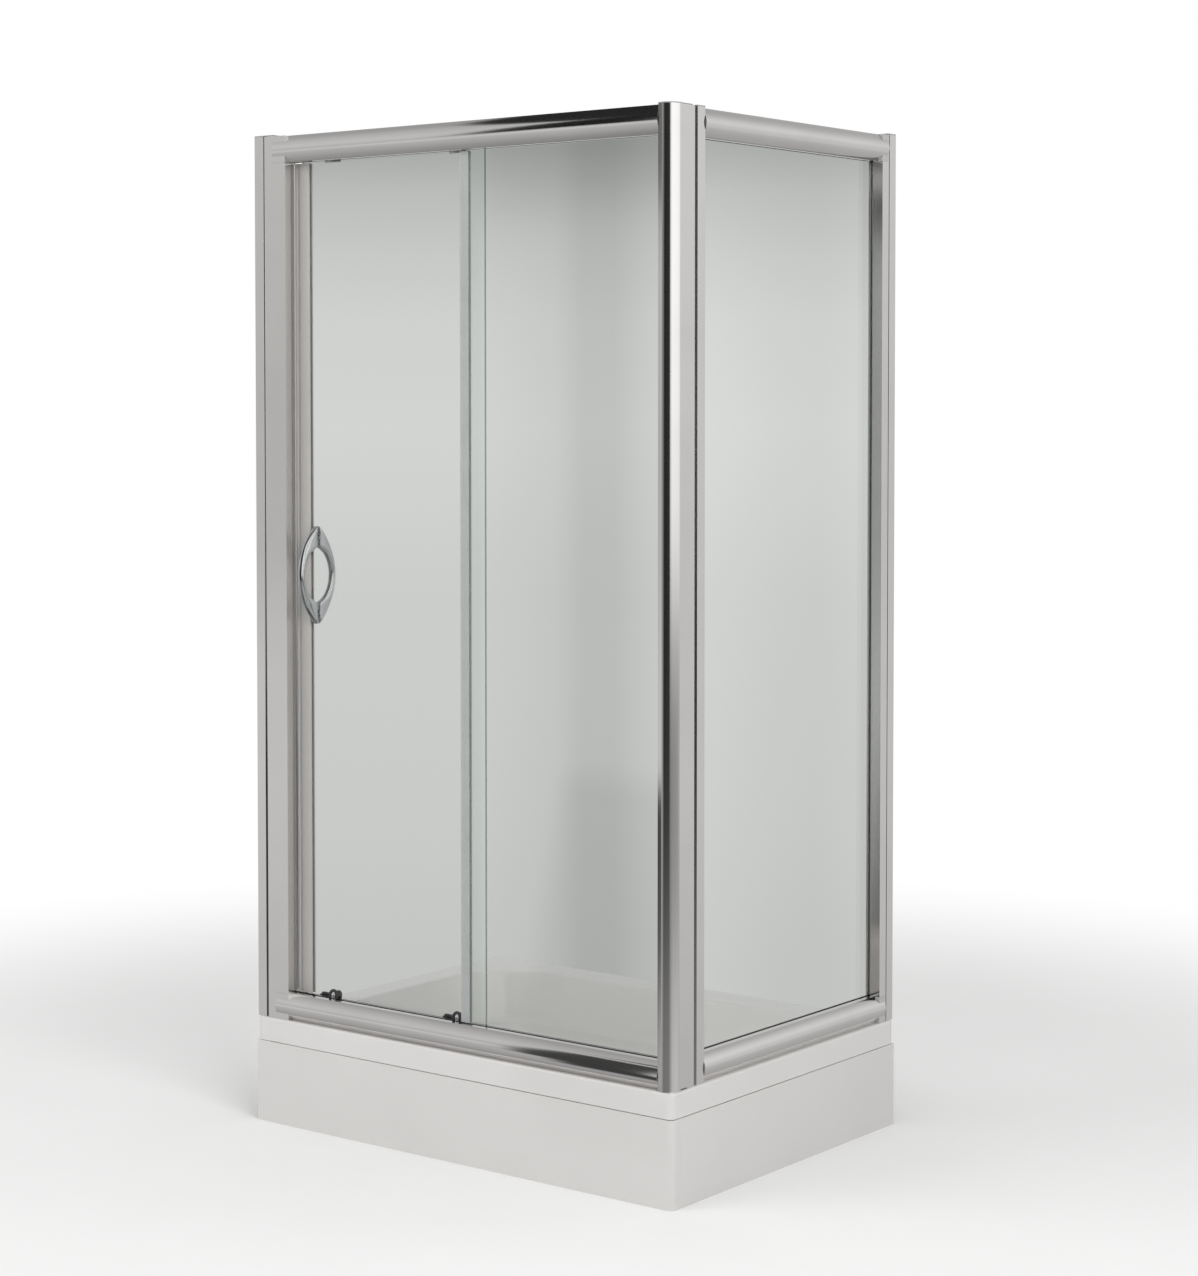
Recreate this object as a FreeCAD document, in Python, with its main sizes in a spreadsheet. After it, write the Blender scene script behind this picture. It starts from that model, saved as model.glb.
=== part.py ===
import FreeCAD, Part
import math
import os
import re
import Sketcher

# A corner shower enclosure: a rectangular tray, a bright metal frame, one fixed pane and one
# sliding door along the front, and one fixed pane along the right side.
# Millimetres, +Z up.  The origin is on the ground under the middle of the tray, the front faces -Y
# and the two open sides, towards -X and +Y, stand against the walls of the room.

SIZES = [
    # The whole enclosure.
    ("enclosure_width", 1100, "outside width of the tray, along the front"),
    ("enclosure_depth", 800, "outside depth of the tray, along the side"),
    ("enclosure_height", 2100, "ground to the top of the frame"),
    ("tray_height", 225, "ground to the rim that the frame stands on"),
    # The tray.
    ("rim_lip", 50, "height of the band round the tray's edge"),
    ("tray_wall", 5, "thickness of the acrylic and its backing"),
    ("tray_corner", 14, "plan radius of the tray's corners"),
    ("rim_edge_round", 5, "round on the rim's outer edge"),
    ("front_rim", 74, "flat rim along the front"),
    ("right_rim", 62, "flat rim along the glazed side"),
    ("left_rim", 70, "flat rim along the left wall"),
    ("back_rim", 88, "flat rim along the back wall"),
    ("basin_depth", 105, "rim down to the floor"),
    ("basin_corner", 180, "plan radius of the basin's corners"),
    ("basin_draw", 48, "how far the basin's walls lean in"),
    ("basin_mouth_round", 12, "round where the rim turns into the basin"),
    ("floor_round", 24, "round where the basin's walls meet the floor"),
    # The apron panels.
    ("apron_thickness", 4, "thickness of the apron panels"),
    ("apron_groove", 1.5, "groove between the rim's band and the aprons"),
    ("apron_wrap", 14, "how far the front apron turns round the corner"),
    ("apron_seam", 0.8, "gap between the two aprons"),
    ("apron_edge_round", 3, "round on the side apron's front edge"),
    ("bracket_length", 40, "length of each apron bracket"),
    ("bracket_height", 18, "height of each apron bracket's upright leg"),
    ("bracket_gauge", 2, "thickness of the brackets"),
    # The support under the tray.
    ("support_tube", 25, "side of the square tube"),
    ("support_gauge", 1.5, "wall of the square tube"),
    ("support_inset", 15, "gap from the tray's band to the support"),
    ("cross_member_offset", 200, "cross members each side of the middle"),
    ("foot_radius", 25, "radius of the levelling feet"),
    ("foot_pad_height", 9, "height of a foot's pad"),
    ("spindle_radius", 6, "radius of a foot's threaded spindle"),
    ("spindle_engagement", 16, "how far a spindle reaches into its tube"),
    ("locknut_radius", 11, "corner radius of a foot's locknut"),
    ("locknut_height", 9, "height of a foot's locknut"),
    # The waste.
    ("waste_from_left", 250, "left edge of the tray to the waste's centre"),
    ("waste_hole_radius", 45, "hole in the tray's floor"),
    ("waste_flange_radius", 55, "flange on the floor"),
    ("waste_flange_thickness", 2, "thickness of that flange"),
    ("cup_clearance", 0.4, "gap between the waste's cup and the hole"),
    ("cup_wall", 2.5, "wall of the cup"),
    ("cup_ground_gap", 14, "ground to the underside of the cup"),
    ("outlet_radius", 25, "outside radius of the outlet pipe"),
    ("outlet_wall", 2.5, "wall of the outlet pipe"),
    ("outlet_length", 60, "outlet pipe beyond the cup"),
    ("outlet_shoulder_length", 8, "shoulder on the pipe that a socket is pushed up to"),
    ("outlet_shoulder_rise", 4, "how far the shoulder stands out of the pipe"),
    ("outlet_height", 48, "ground to the outlet pipe's axis"),
    ("cover_radius", 51, "radius of the waste's lift-out cover"),
    ("cover_rise", 6, "how far the cover domes up"),
    ("cover_plate", 2, "thickness of the cover's rim"),
    ("cover_seat_gap", 0.3, "gap under the cover"),
    ("cover_skirt_radius", 34, "radius of the skirt under the cover"),
    ("cover_skirt_depth", 16, "depth of the skirt under the cover"),
    # The frame's profiles.
    ("profile_setback", 4, "tray's edge to the outer face of the upright profiles"),
    ("rail_setback", 1, "tray's edge to the crown of the rails"),
    ("post_setback", 2, "tray's edge to the corner post"),
    ("profile_wall", 2, "wall of the channel profiles"),
    ("chamber_wall", 1.5, "wall of the hollow profiles"),
    ("front_profile_depth", 52, "depth of the uprights in the front"),
    ("side_profile_depth", 34, "depth of the uprights in the side"),
    ("wall_profile_width", 24, "width of the left wall profile"),
    ("rear_profile_width", 24.5, "width of the rear wall profile"),
    ("tongue_overlap", 12, "how far a jamb's tongue enters its channel"),
    ("tongue_clearance", 1.2, "gap each side of a tongue"),
    ("wall_screw_radius", 3, "holes for the wall screws"),
    ("wall_screw_edge", 200, "end of a wall profile to its first screw hole"),
    ("cap_thickness", 2, "plastic caps on the tops of the uprights"),
    ("left_groove", 13, "groove between the left wall profile and the jamb"),
    ("jamb_width", 51.6, "width of the left jamb's face"),
    ("jamb_neck", 15, "part of the jamb that runs past the rails"),
    ("reveal_start", 16, "jamb's face to the step in its reveal"),
    ("reveal_end", 31, "jamb's face to the end of that step"),
    ("reveal_step", 2, "depth of that step"),
    ("rear_groove", 2.5, "groove between the rear wall profile and its jamb"),
    ("rear_jamb_width", 25, "width of the side's rear jamb"),
    ("rear_jamb_neck", 3, "part of the rear jamb that runs past the rails"),
    ("side_groove", 16.4, "groove between the corner post and the side's stile"),
    ("stile_width", 24.6, "width of the side's front stile"),
    # The corner post.
    ("post_front_width", 35.2, "corner post seen from the front"),
    ("post_radius", 25, "round of the corner post"),
    ("post_flange", 9.4, "thin flange that covers the rails' ends"),
    ("post_side_width", 29.6, "rounded part seen from the side"),
    ("post_channel", 37.3, "channel part seen from the side"),
    ("post_channel_floor", 36, "post's front to the floor of its channel"),
    ("post_wall", 4, "wall of the rounded part"),
    ("post_foot_gap", 3, "gap under the post's channel part"),
    # The rails.
    ("rail_height", 56, "height of all four rails"),
    ("rail_bulge", 14, "how far a rail's face bulges"),
    ("rail_wall", 2, "wall of the rails"),
    ("rail_top_gap", 3, "top of the frame down to the top of the rails"),
    ("front_rail_depth", 63, "depth of the front rails"),
    ("side_rail_depth", 37, "depth of the side rails"),
    ("channel_floor", 20, "underside of the bottom rail to its channel floor"),
    ("channel_back_height", 50, "height of the bottom rail's back wall"),
    ("channel_back_wall", 2.5, "thickness of the front rails' back wall"),
    ("track_height", 4, "height of the running rib"),
    ("track_width", 4, "width of the running rib"),
    ("ledge_height", 14, "underside of the top rail to its running ledge"),
    ("ledge_thickness", 3, "thickness of the running ledge"),
    # The panes.
    ("glass_thickness", 5, "thickness of the toughened glass"),
    ("glass_setback", 30, "rail's crown to the middle of a fixed pane"),
    ("pocket_width", 8, "width of the glazing pockets"),
    ("pocket_depth", 20, "depth of the glazing pockets in the rails"),
    ("upright_pocket_depth", 8, "depth of the glazing pockets in the uprights"),
    ("pocket_wall", 3, "wall between a pocket and the door's channel"),
    ("glass_end_gap", 1.5, "gap between a pane's edge and the pocket's end"),
    ("gasket_clearance", 0.3, "gap each side of a gasket"),
    ("gasket_web", 1.2, "thickness of a gasket under the glass"),
    ("pane_gap", 8, "gap between the fixed pane and the door"),
    ("pane_overlap", 48, "how far the closed door laps the fixed pane"),
    ("seal_cover", 18, "how far the edge seal covers the fixed pane"),
    ("seal_front", 4, "edge seal beyond the pane's edge"),
    ("seal_skin", 1.6, "thickness of the edge seal's sides"),
    ("seal_lip_gap", 0.6, "gap between the seal's lip and the door"),
    ("seal_lip_end_gap", 30, "seal's lip cut back at both ends, to clear the rollers"),
    # The door.
    ("door_width", 507, "edge profile's face to the bare glass edge"),
    ("door_travel", 370, "how far the door slides"),
    ("door_edge_width", 28, "width of the door's edge profile"),
    ("door_edge_thickness", 14, "thickness of the door's edge profile"),
    ("door_edge_grip", 22, "how far the edge profile covers the glass"),
    ("door_edge_round", 3, "rounds on the edge profile"),
    ("door_edge_fit", 0.2, "gap each side of the glass in the profile"),
    ("door_edge_rail_gap", 2, "edge profile to each rail"),
    ("magnet_depth", 4, "how far each magnetic strip stands out"),
    ("magnet_width", 12, "width of the magnetic strips"),
    ("magnet_gap", 0.4, "gap between the two strips of the closed door"),
    ("door_glass_bottom", 30, "underside of the bottom rail to the door glass"),
    ("door_glass_top", 30, "underside of the top rail to the top of the door glass"),
    # The handles.
    ("handle_from_edge", 41, "door's edge to the middle of the handles"),
    ("handle_height", 1173, "ground to the middle of the handles"),
    ("handle_length", 206, "tip to tip"),
    ("handle_reach", 50, "how far each bow stands off"),
    ("handle_bar", 14, "thickness of the bow"),
    ("handle_foot", 44, "length of each foot on the glass"),
    ("handle_round", 5, "round on the bow's long edges"),
    ("stud_radius", 3, "radius of the studs that join the two handles"),
    ("stud_grip", 10, "how far a stud reaches into a foot"),
    ("stud_hole_clearance", 1.5, "gap round a stud in the glass"),
    ("washer_radius", 6.5, "radius of the washers under the feet"),
    ("washer_thickness", 1, "thickness of those washers"),
    # The rollers.
    ("roller_from_edge", 89, "edge profile's face to the first rollers"),
    ("roller_from_end", 74, "door's bare edge to the second rollers"),
    ("wheel_radius", 11, "radius of the wheels"),
    ("wheel_width", 6, "width of the wheels"),
    ("wheel_offset", 10.5, "middle of the door glass to the middle of the wheels"),
    ("wheel_running_gap", 0.3, "gap between a wheel and its track"),
    ("bearing_radius", 7, "outside radius of the wheel bearings"),
    ("bearing_width", 4, "width of the wheel bearings"),
    ("axle_radius", 3, "radius of the axles"),
    ("axle_end", 1.5, "axle beyond the wheel"),
    ("fit_clearance", 0.05, "radial clearance of the turned fits"),
    ("plate_width", 46, "width of the top roller plates"),
    ("plate_thickness", 3, "thickness of the roller plates"),
    ("plate_glass_gap", 0.3, "gap between a roller plate and the glass"),
    ("hanger_drop", 3, "top roller plate below the rail"),
    ("hanger_rise", 38, "top roller plate above the rail's underside"),
    ("hanger_screw_height", 8, "rail's underside to the hanger screw"),
    ("hanger_screw_radius", 3, "radius of the hanger screw"),
    ("hanger_head_radius", 4.8, "radius of the hanger screw's head"),
    ("hanger_head_thickness", 2, "thickness of the hanger screw's head"),
    ("hole_clearance", 0.2, "gap round a screw in its hole"),
    ("roller_cap_height", 60, "underside of the bottom rail to the roller's cap"),
    ("roller_cap_radius", 14, "radius of that cap"),
    ("roller_cap_thickness", 2.6, "thickness of that cap"),
    ("roller_stem_radius", 5, "radius of the stem through the glass"),
    ("roller_boss_radius", 9, "radius of the boss that the stem screws into"),
    ("roller_body_left", 46, "wheel's axle to the far end of the roller's body"),
    ("roller_body_right", 14, "wheel's axle to the near end of the roller's body"),
    ("roller_body_base", 24.3, "underside of the bottom rail to the roller's body"),
    ("roller_body_top", 57, "underside of the bottom rail to the top of the body"),
    ("housing_width", 26, "width of the button's housing"),
    ("housing_height", 21, "height of the button's housing"),
    ("housing_depth", 10, "depth of the button's housing and the boss"),
    ("button_width", 19, "width of the release button"),
    ("button_depth", 6, "depth of the release button"),
    ("button_length", 12, "height of the release button"),
    ("button_travel", 4, "travel of the button, and how far it stands up"),
    ("button_clearance", 0.3, "gap round the button in its well"),
    ("stop_length", 14, "length of the rubber door stops"),
    ("stop_height", 12, "height of the rubber door stops"),
    ("stop_depth", 8, "depth of the rubber door stops"),
    ("stop_gap", 0.3, "gap between a stop and the wheel that meets it"),
    # The small screws.
    ("profile_screw_radius", 1.8, "shank of the screws that hold the tongues"),
    ("screw_end_reach", 3, "how far their ends come out of the tongues"),
    ("profile_screw_head", 4, "head radius of those screws"),
    ("profile_screw_head_height", 2, "head height of those screws"),
    ("profile_screw_edge", 150, "end of a profile to its first joining screw"),
]

# Two places nearer than this are taken as one when an edge is picked out.
SAME_PLACE = 0.01

document = FreeCAD.newDocument("shower_enclosure")
sheet = document.addObject("Spreadsheet::Sheet", "Sizes")
for row, (name, size, meaning) in enumerate(SIZES, start=1):
    sheet.set(f"A{row}", name)
    sheet.set(f"B{row}", str(size))
    sheet.setAlias(f"B{row}", name)
    sheet.set(f"C{row}", meaning)
document.recompute()

NAMES = {name for name, size, meaning in SIZES}
PARTS = []

# ---------------------------------------------------------------- planes shared by many pieces

LEFT = "(-enclosure_width / 2)"
RIGHT = "(enclosure_width / 2)"
FRONT = "(-enclosure_depth / 2)"
BACK = "(enclosure_depth / 2)"
FRAME_TOP = "(enclosure_height - cap_thickness)"

# Front line, from the outside in.
RAIL_CROWN_Y = f"({FRONT} + rail_setback)"
FRONT_FACE_Y = f"({FRONT} + profile_setback)"
FIXED_GLASS_Y = f"({RAIL_CROWN_Y} + glass_setback)"
DOOR_Y = f"({FIXED_GLASS_Y} + glass_thickness + pane_gap)"
WHEEL_Y = f"({DOOR_Y} + wheel_offset)"
DOOR_BACK_Y = f"({DOOR_Y} + glass_thickness / 2)"
DOOR_FRONT_Y = f"({DOOR_Y} - glass_thickness / 2)"

# Side line, from the outside in.
SIDE_FACE_X = f"({RIGHT} - profile_setback)"
SIDE_CROWN_X = f"({RIGHT} - rail_setback)"
SIDE_GLASS_X = f"({SIDE_CROWN_X} - glass_setback)"

# Along the front, from left to right.
JAMB_X = f"({LEFT} + wall_profile_width + left_groove)"
RAIL_START_X = f"({JAMB_X} + jamb_neck)"
REVEAL_X = f"({JAMB_X} + jamb_width)"
DOOR_EDGE_X = f"({REVEAL_X} + 2 * magnet_depth + magnet_gap)"
DOOR_GLASS_X = f"({DOOR_EDGE_X} + door_edge_width - door_edge_grip)"
DOOR_END_X = f"({DOOR_EDGE_X} + door_width)"
FIXED_GLASS_X = f"({DOOR_END_X} - pane_overlap)"
POST_X = f"({RIGHT} - post_setback - post_front_width)"

# Along the side, from front to back.
POST_SIDE_Y = f"({FRONT} + post_setback + post_side_width)"
POST_END_Y = f"({POST_SIDE_Y} + post_channel)"
STILE_Y = f"({POST_END_Y} + side_groove)"
SIDE_RAIL_START_Y = f"({STILE_Y} + stile_width)"
REAR_JAMB_Y = f"({BACK} - rear_profile_width - rear_groove)"
SIDE_RAIL_END_Y = f"({REAR_JAMB_Y} - rear_jamb_neck)"
REAR_REVEAL_Y = f"({REAR_JAMB_Y} - rear_jamb_width)"

# Heights.
LOW_RAIL_TOP = "(tray_height + rail_height)"
HIGH_RAIL_BASE = "(enclosure_height - rail_top_gap - rail_height)"
HIGH_RAIL_TOP = "(enclosure_height - rail_top_gap)"
GLASS_LOW = f"({LOW_RAIL_TOP} - pocket_depth + glass_end_gap)"
GLASS_HIGH = f"({HIGH_RAIL_BASE} + pocket_depth - glass_end_gap)"
DOOR_LOW = "(tray_height + door_glass_bottom)"
DOOR_HIGH = f"({HIGH_RAIL_BASE} + door_glass_top)"
TOP_AXLE_Z = f"({HIGH_RAIL_BASE} + ledge_height + ledge_thickness + wheel_running_gap + wheel_radius)"
LOW_AXLE_Z = "(tray_height + channel_floor + track_height + wheel_running_gap + wheel_radius)"
FLOOR_TOP = "(tray_height - basin_depth)"
SUPPORT_TOP = f"({FLOOR_TOP} - tray_wall)"
SUPPORT_BASE = f"({SUPPORT_TOP} - support_tube)"
APRON_TOP = "(tray_height - rim_lip - apron_groove)"

# The two roller stations along the door.
ROLLERS = {
    "left": f"({DOOR_EDGE_X} + roller_from_edge)",
    "right": f"({DOOR_END_X} - roller_from_end)",
}


# ---------------------------------------------------------------- small tools

def bound(expression):
    """The expression with every size's name pointed at the sheet."""
    def point(match):
        word = match.group()
        return f"Sizes.{word}" if word in NAMES else word
    return re.sub(r"[a-z][a-z_]*", point, str(expression))


def value(expression):
    """The number that an expression gives with the sheet's present sizes."""
    return float(sheet.evalExpression(bound(expression)))


def bind(thing, setting, expression):
    """Tie one setting of an object to the sheet."""
    thing.setExpression(setting, bound(expression))


def move(thing, x, y, z, turn=0):
    """Place an object at expressions of the sheet, turned about Z by whole degrees."""
    thing.Placement.Rotation = FreeCAD.Rotation(FreeCAD.Vector(0, 0, 1), turn)
    bind(thing, "Placement.Base.x", x)
    bind(thing, "Placement.Base.y", y)
    bind(thing, "Placement.Base.z", z)


def part(label, thing):
    """Give a finished sub-part its own label and keep it for the files."""
    thing.Label = label
    PARTS.append(thing)
    return thing


def box(label, x, y, z):
    """A block between two planes on each axis, each given as (low, high)."""
    block = document.addObject("Part::Box", label)
    bind(block, "Length", f"({x[1]}) - ({x[0]})")
    bind(block, "Width", f"({y[1]}) - ({y[0]})")
    bind(block, "Height", f"({z[1]}) - ({z[0]})")
    move(block, x[0], y[0], z[0])
    return block


AXES = {
    "X": FreeCAD.Rotation(FreeCAD.Vector(0, 1, 0), 90),
    "Y": FreeCAD.Rotation(FreeCAD.Vector(1, 0, 0), -90),
    "Z": FreeCAD.Rotation(),
}


def rod(label, axis, radius, start, length):
    """A cylinder from its start point along +X, +Y or +Z."""
    cylinder = document.addObject("Part::Cylinder", label)
    bind(cylinder, "Radius", radius)
    bind(cylinder, "Height", length)
    move(cylinder, *start)
    cylinder.Placement.Rotation = AXES[axis]
    return cylinder


def fuse(label, pieces):
    """One solid made of several that touch or overlap."""
    joined = document.addObject("Part::MultiFuse", label)
    joined.Shapes = pieces
    joined.Refine = True
    return joined


def cut(label, base, tools):
    """The base with every tool taken out of it."""
    tool = tools[0] if len(tools) == 1 else fuse(label + "_tools", tools)
    result = document.addObject("Part::Cut", label)
    result.Base = base
    result.Tool = tool
    return result


def group(label, pieces):
    """Identical pieces kept together as separate solids."""
    together = document.addObject("Part::Compound", label)
    together.Links = pieces
    return together


def centre_of_arc(start, end, radius, turn):
    """Centre of the shorter arc from start to end that turns left or right."""
    chord = end - start
    half = chord.Length / 2
    rise = math.sqrt(max(radius * radius - half * half, 0.0))
    across = FreeCAD.Vector(-chord.y, chord.x, 0).normalize()
    side = rise if turn == "left" else -rise
    return start + chord * 0.5 + across * side


def add_edge(sketch, start, end, corner):
    """Draw the edge that arrives at a corner; give its index and its two ends' numbers."""
    if len(corner) == 2:
        return sketch.addGeometry(Part.LineSegment(start, end)), 1, 2
    radius_expression, turn = corner[2:]
    radius = value(radius_expression)
    centre = centre_of_arc(start, end, radius, turn)
    first, last = (start, end) if turn == "left" else (end, start)
    angles = [math.atan2(p.y - centre.y, p.x - centre.x) for p in (first, last)]
    circle = Part.Circle(centre, FreeCAD.Vector(0, 0, 1), radius)
    index = sketch.addGeometry(Part.ArcOfCircle(circle, *angles))
    rule = sketch.addConstraint(Sketcher.Constraint("Radius", index, radius))
    bind(sketch, f"Constraints[{rule}]", radius_expression)
    return (index, 1, 2) if turn == "left" else (index, 2, 1)


def fix_point(sketch, index, end, u, v):
    """Hold a point of a sketch at two expressions measured from the sketch's origin."""
    for direction, expression in (("DistanceX", u), ("DistanceY", v)):
        rule = sketch.addConstraint(
            Sketcher.Constraint(direction, -1, 1, index, end, value(expression)))
        bind(sketch, f"Constraints[{rule}]", expression)


def draw(sketch, corners):
    """Draw a closed outline.

    A corner is (u, v), or (u, v, radius, turn) where an arc leads to it.
    """
    points = [FreeCAD.Vector(value(corner[0]), value(corner[1]), 0) for corner in corners]
    edges = []
    for place, corner in enumerate(corners):
        edges.append(add_edge(sketch, points[place - 1], points[place], corner))
    for place, (index, start, end) in enumerate(edges):
        following = edges[(place + 1) % len(edges)]
        sketch.addConstraint(
            Sketcher.Constraint("Coincident", index, end, following[0], following[1]))
        fix_point(sketch, index, end, corners[place][0], corners[place][1])


def draw_circle(sketch, u, v, radius):
    """Draw a circle about a point."""
    circle = Part.Circle(FreeCAD.Vector(value(u), value(v), 0), FreeCAD.Vector(0, 0, 1), value(radius))
    index = sketch.addGeometry(circle)
    rule = sketch.addConstraint(Sketcher.Constraint("Radius", index, value(radius)))
    bind(sketch, f"Constraints[{rule}]", radius)
    fix_point(sketch, index, 3, u, v)


def oblong(u, v):
    """Corners of a rectangle between two pairs of planes."""
    return [(u[0], v[0]), (u[1], v[0]), (u[1], v[1]), (u[0], v[1])]


def rounded_oblong(u, v, radius):
    """Corners of a rectangle with four round corners."""
    r = f"({radius})"
    return [
        (f"{u[1]} - {r}", v[0]),
        (u[1], f"{v[0]} + {r}", r, "left"),
        (u[1], f"{v[1]} - {r}"),
        (f"{u[1]} - {r}", v[1], r, "left"),
        (f"{u[0]} + {r}", v[1]),
        (u[0], f"{v[1]} - {r}", r, "left"),
        (u[0], f"{v[0]} + {r}"),
        (f"{u[0]} + {r}", v[0], r, "left"),
    ]


def new_body(label):
    """An empty body."""
    return document.addObject("PartDesign::Body", label)


def new_sketch(body, plane, height=None):
    """A sketch on one of the body's own planes, lifted off it where a height is given."""
    sketch = body.newObject("Sketcher::SketchObject", body.Name + "_sketch")
    support = [face for face in body.Origin.OriginFeatures if face.Role == plane + "_Plane"][0]
    sketch.AttachmentSupport = [(support, "")]
    sketch.MapMode = "FlatFace"
    if height is not None:
        bind(sketch, "AttachmentOffset.Base.z", height)
    return sketch


def pad(body, sketch, length, reverse=False):
    """Push a sketch out by a length."""
    feature = body.newObject("PartDesign::Pad", body.Name + "_pad")
    feature.Profile = sketch
    feature.Reversed = reverse
    bind(feature, "Length", length)
    return feature


def extrusion(label, plane, outlines, length, circles=()):
    """A bar or sheet: outlines, the first one outside, pushed along +X, +Y or +Z."""
    body = new_body(label)
    sketch = new_sketch(body, plane)
    for corners in outlines:
        draw(sketch, corners)
    for u, v, radius in circles:
        draw_circle(sketch, u, v, radius)
    pad(body, sketch, length, reverse=plane == "XZ")
    return body


def round_edges(body, radius, wanted):
    """Round those edges of the body's present solid that a test picks."""
    document.recompute()
    base = body.Tip
    names = [f"Edge{n}" for n, edge in enumerate(base.Shape.Edges, start=1) if wanted(edge)]
    fillet = body.newObject("PartDesign::Fillet", body.Name + "_round")
    fillet.Base = (base, names)
    bind(fillet, "Radius", radius)
    return fillet


# ---------------------------------------------------------------- the tray

BASIN_LEFT = f"({LEFT} + left_rim)"
BASIN_RIGHT = f"({RIGHT} - right_rim)"
BASIN_FRONT = f"({FRONT} + front_rim)"
BASIN_BACK = f"({BACK} - back_rim)"
WASTE_X = f"({LEFT} + waste_from_left)"


def basin_outline(grow, corner):
    """The basin's outline in plan, grown outwards all round."""
    return rounded_oblong(
        (f"({BASIN_LEFT} - ({grow}))", f"({BASIN_RIGHT} + ({grow}))"),
        (f"({BASIN_FRONT} - ({grow}))", f"({BASIN_BACK} + ({grow}))"),
        corner)


def loft(body, kind, upper, lower):
    """A loft between two basin outlines, each given as (height, grow, corner)."""
    sketches = []
    for height, grow, corner in (upper, lower):
        sketch = new_sketch(body, "XY", height)
        draw(sketch, basin_outline(grow, corner))
        sketches.append(sketch)
    feature = body.newObject("PartDesign::" + kind, body.Name + "_loft")
    feature.Profile = sketches[0]
    feature.Sections = [sketches[1]]
    feature.Ruled = True
    return feature


def near_outer_round(edge):
    """Whether a level edge lies along the rim's own outer round."""
    middle = edge.CenterOfMass
    margin = value("tray_corner + rim_edge_round + 2")
    return (abs(middle.x) > value("enclosure_width / 2") - margin
            or abs(middle.y) > value("enclosure_depth / 2") - margin)


def make_tray():
    """The moulded tray: a flat rim with a band round it and a deep round-cornered basin."""
    body = new_body("tray_shell")
    rim = new_sketch(body, "XY", "tray_height - rim_lip")
    draw(rim, rounded_oblong((LEFT, RIGHT), (FRONT, BACK), "tray_corner"))
    pad(body, rim, "rim_lip")
    document.recompute()
    hollow = new_sketch(body, "XY", "tray_height - rim_lip")
    draw(hollow, rounded_oblong(
        (f"{LEFT} + tray_wall", f"{RIGHT} - tray_wall"),
        (f"{FRONT} + tray_wall", f"{BACK} - tray_wall"), "tray_corner - tray_wall"))
    pocket = body.newObject("PartDesign::Pocket", "tray_hollow")
    pocket.Profile = hollow
    pocket.Reversed = True
    bind(pocket, "Length", "rim_lip - tray_wall")
    lean = "(tray_wall - basin_draw)"
    loft(body, "AdditiveLoft", ("tray_height - tray_wall / 2", "tray_wall", "basin_corner + tray_wall"),
         (f"{FLOOR_TOP} - tray_wall", lean, f"basin_corner + {lean}"))
    loft(body, "SubtractiveLoft", ("tray_height", "0", "basin_corner"),
         (FLOOR_TOP, "-basin_draw", "basin_corner - basin_draw"))
    drain = new_sketch(body, "XY", f"{FLOOR_TOP} - 2 * tray_wall")
    draw_circle(drain, WASTE_X, "0", "waste_hole_radius")
    hole = body.newObject("PartDesign::Pocket", "tray_waste_hole")
    hole.Profile = drain
    hole.Reversed = True
    bind(hole, "Length", "3 * tray_wall")
    height = value("tray_height")
    floor = value(FLOOR_TOP)
    outer = value("enclosure_width / 2 - tray_corner - 1")
    depth = value("enclosure_depth / 2 - tray_corner - 1")

    def level(edge, z):
        bounds = edge.BoundBox
        return abs(bounds.ZMin - z) < SAME_PLACE and abs(bounds.ZMax - z) < SAME_PLACE

    def on_outside(edge):
        middle = edge.CenterOfMass
        return abs(middle.x) > outer or abs(middle.y) > depth

    round_edges(body, "rim_edge_round", lambda edge: level(edge, height) and on_outside(edge))
    round_edges(body, "basin_mouth_round", lambda edge: level(edge, height) and not on_outside(edge)
                and not near_outer_round(edge))
    waste = value("waste_hole_radius") + 1
    round_edges(body, "floor_round", lambda edge: level(edge, floor)
                and not (edge.BoundBox.XLength < 2 * waste and edge.BoundBox.YLength < 2 * waste
                         and abs(edge.CenterOfMass.y) < 1))
    part("shower_tray", body)


def make_aprons():
    """Two panels under the rim; the front one turns round the exposed corner."""
    inner = "(tray_corner - apron_thickness)"
    front = extrusion("front_apron", "XY", [[
        (LEFT, FRONT),
        (f"{RIGHT} - tray_corner", FRONT),
        (RIGHT, f"{FRONT} + tray_corner", "tray_corner", "left"),
        (RIGHT, f"{FRONT} + tray_corner + apron_wrap"),
        (f"{RIGHT} - apron_thickness", f"{FRONT} + tray_corner + apron_wrap"),
        (f"{RIGHT} - apron_thickness", f"{FRONT} + tray_corner"),
        (f"{RIGHT} - tray_corner", f"{FRONT} + apron_thickness", inner, "right"),
        (LEFT, f"{FRONT} + apron_thickness"),
    ]], APRON_TOP)
    part("front_apron", front)
    side = extrusion("side_apron", "XY", [oblong(
        (f"{RIGHT} - apron_thickness", RIGHT),
        (f"{FRONT} + tray_corner + apron_wrap + apron_seam", BACK))], APRON_TOP)
    edge_x = value(RIGHT)
    edge_y = value(f"{FRONT} + tray_corner + apron_wrap + apron_seam")
    round_edges(side, "apron_edge_round", lambda edge: abs(edge.CenterOfMass.x - edge_x) < SAME_PLACE
                and abs(edge.CenterOfMass.y - edge_y) < SAME_PLACE)
    part("side_apron", side)


SUPPORT_X = "(enclosure_width / 2 - tray_wall - support_inset)"
SUPPORT_Y = "(enclosure_depth / 2 - tray_wall - support_inset)"
FEET = [(x, y) for y in (-1, 1) for x in (-1, 0, 1)]


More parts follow.
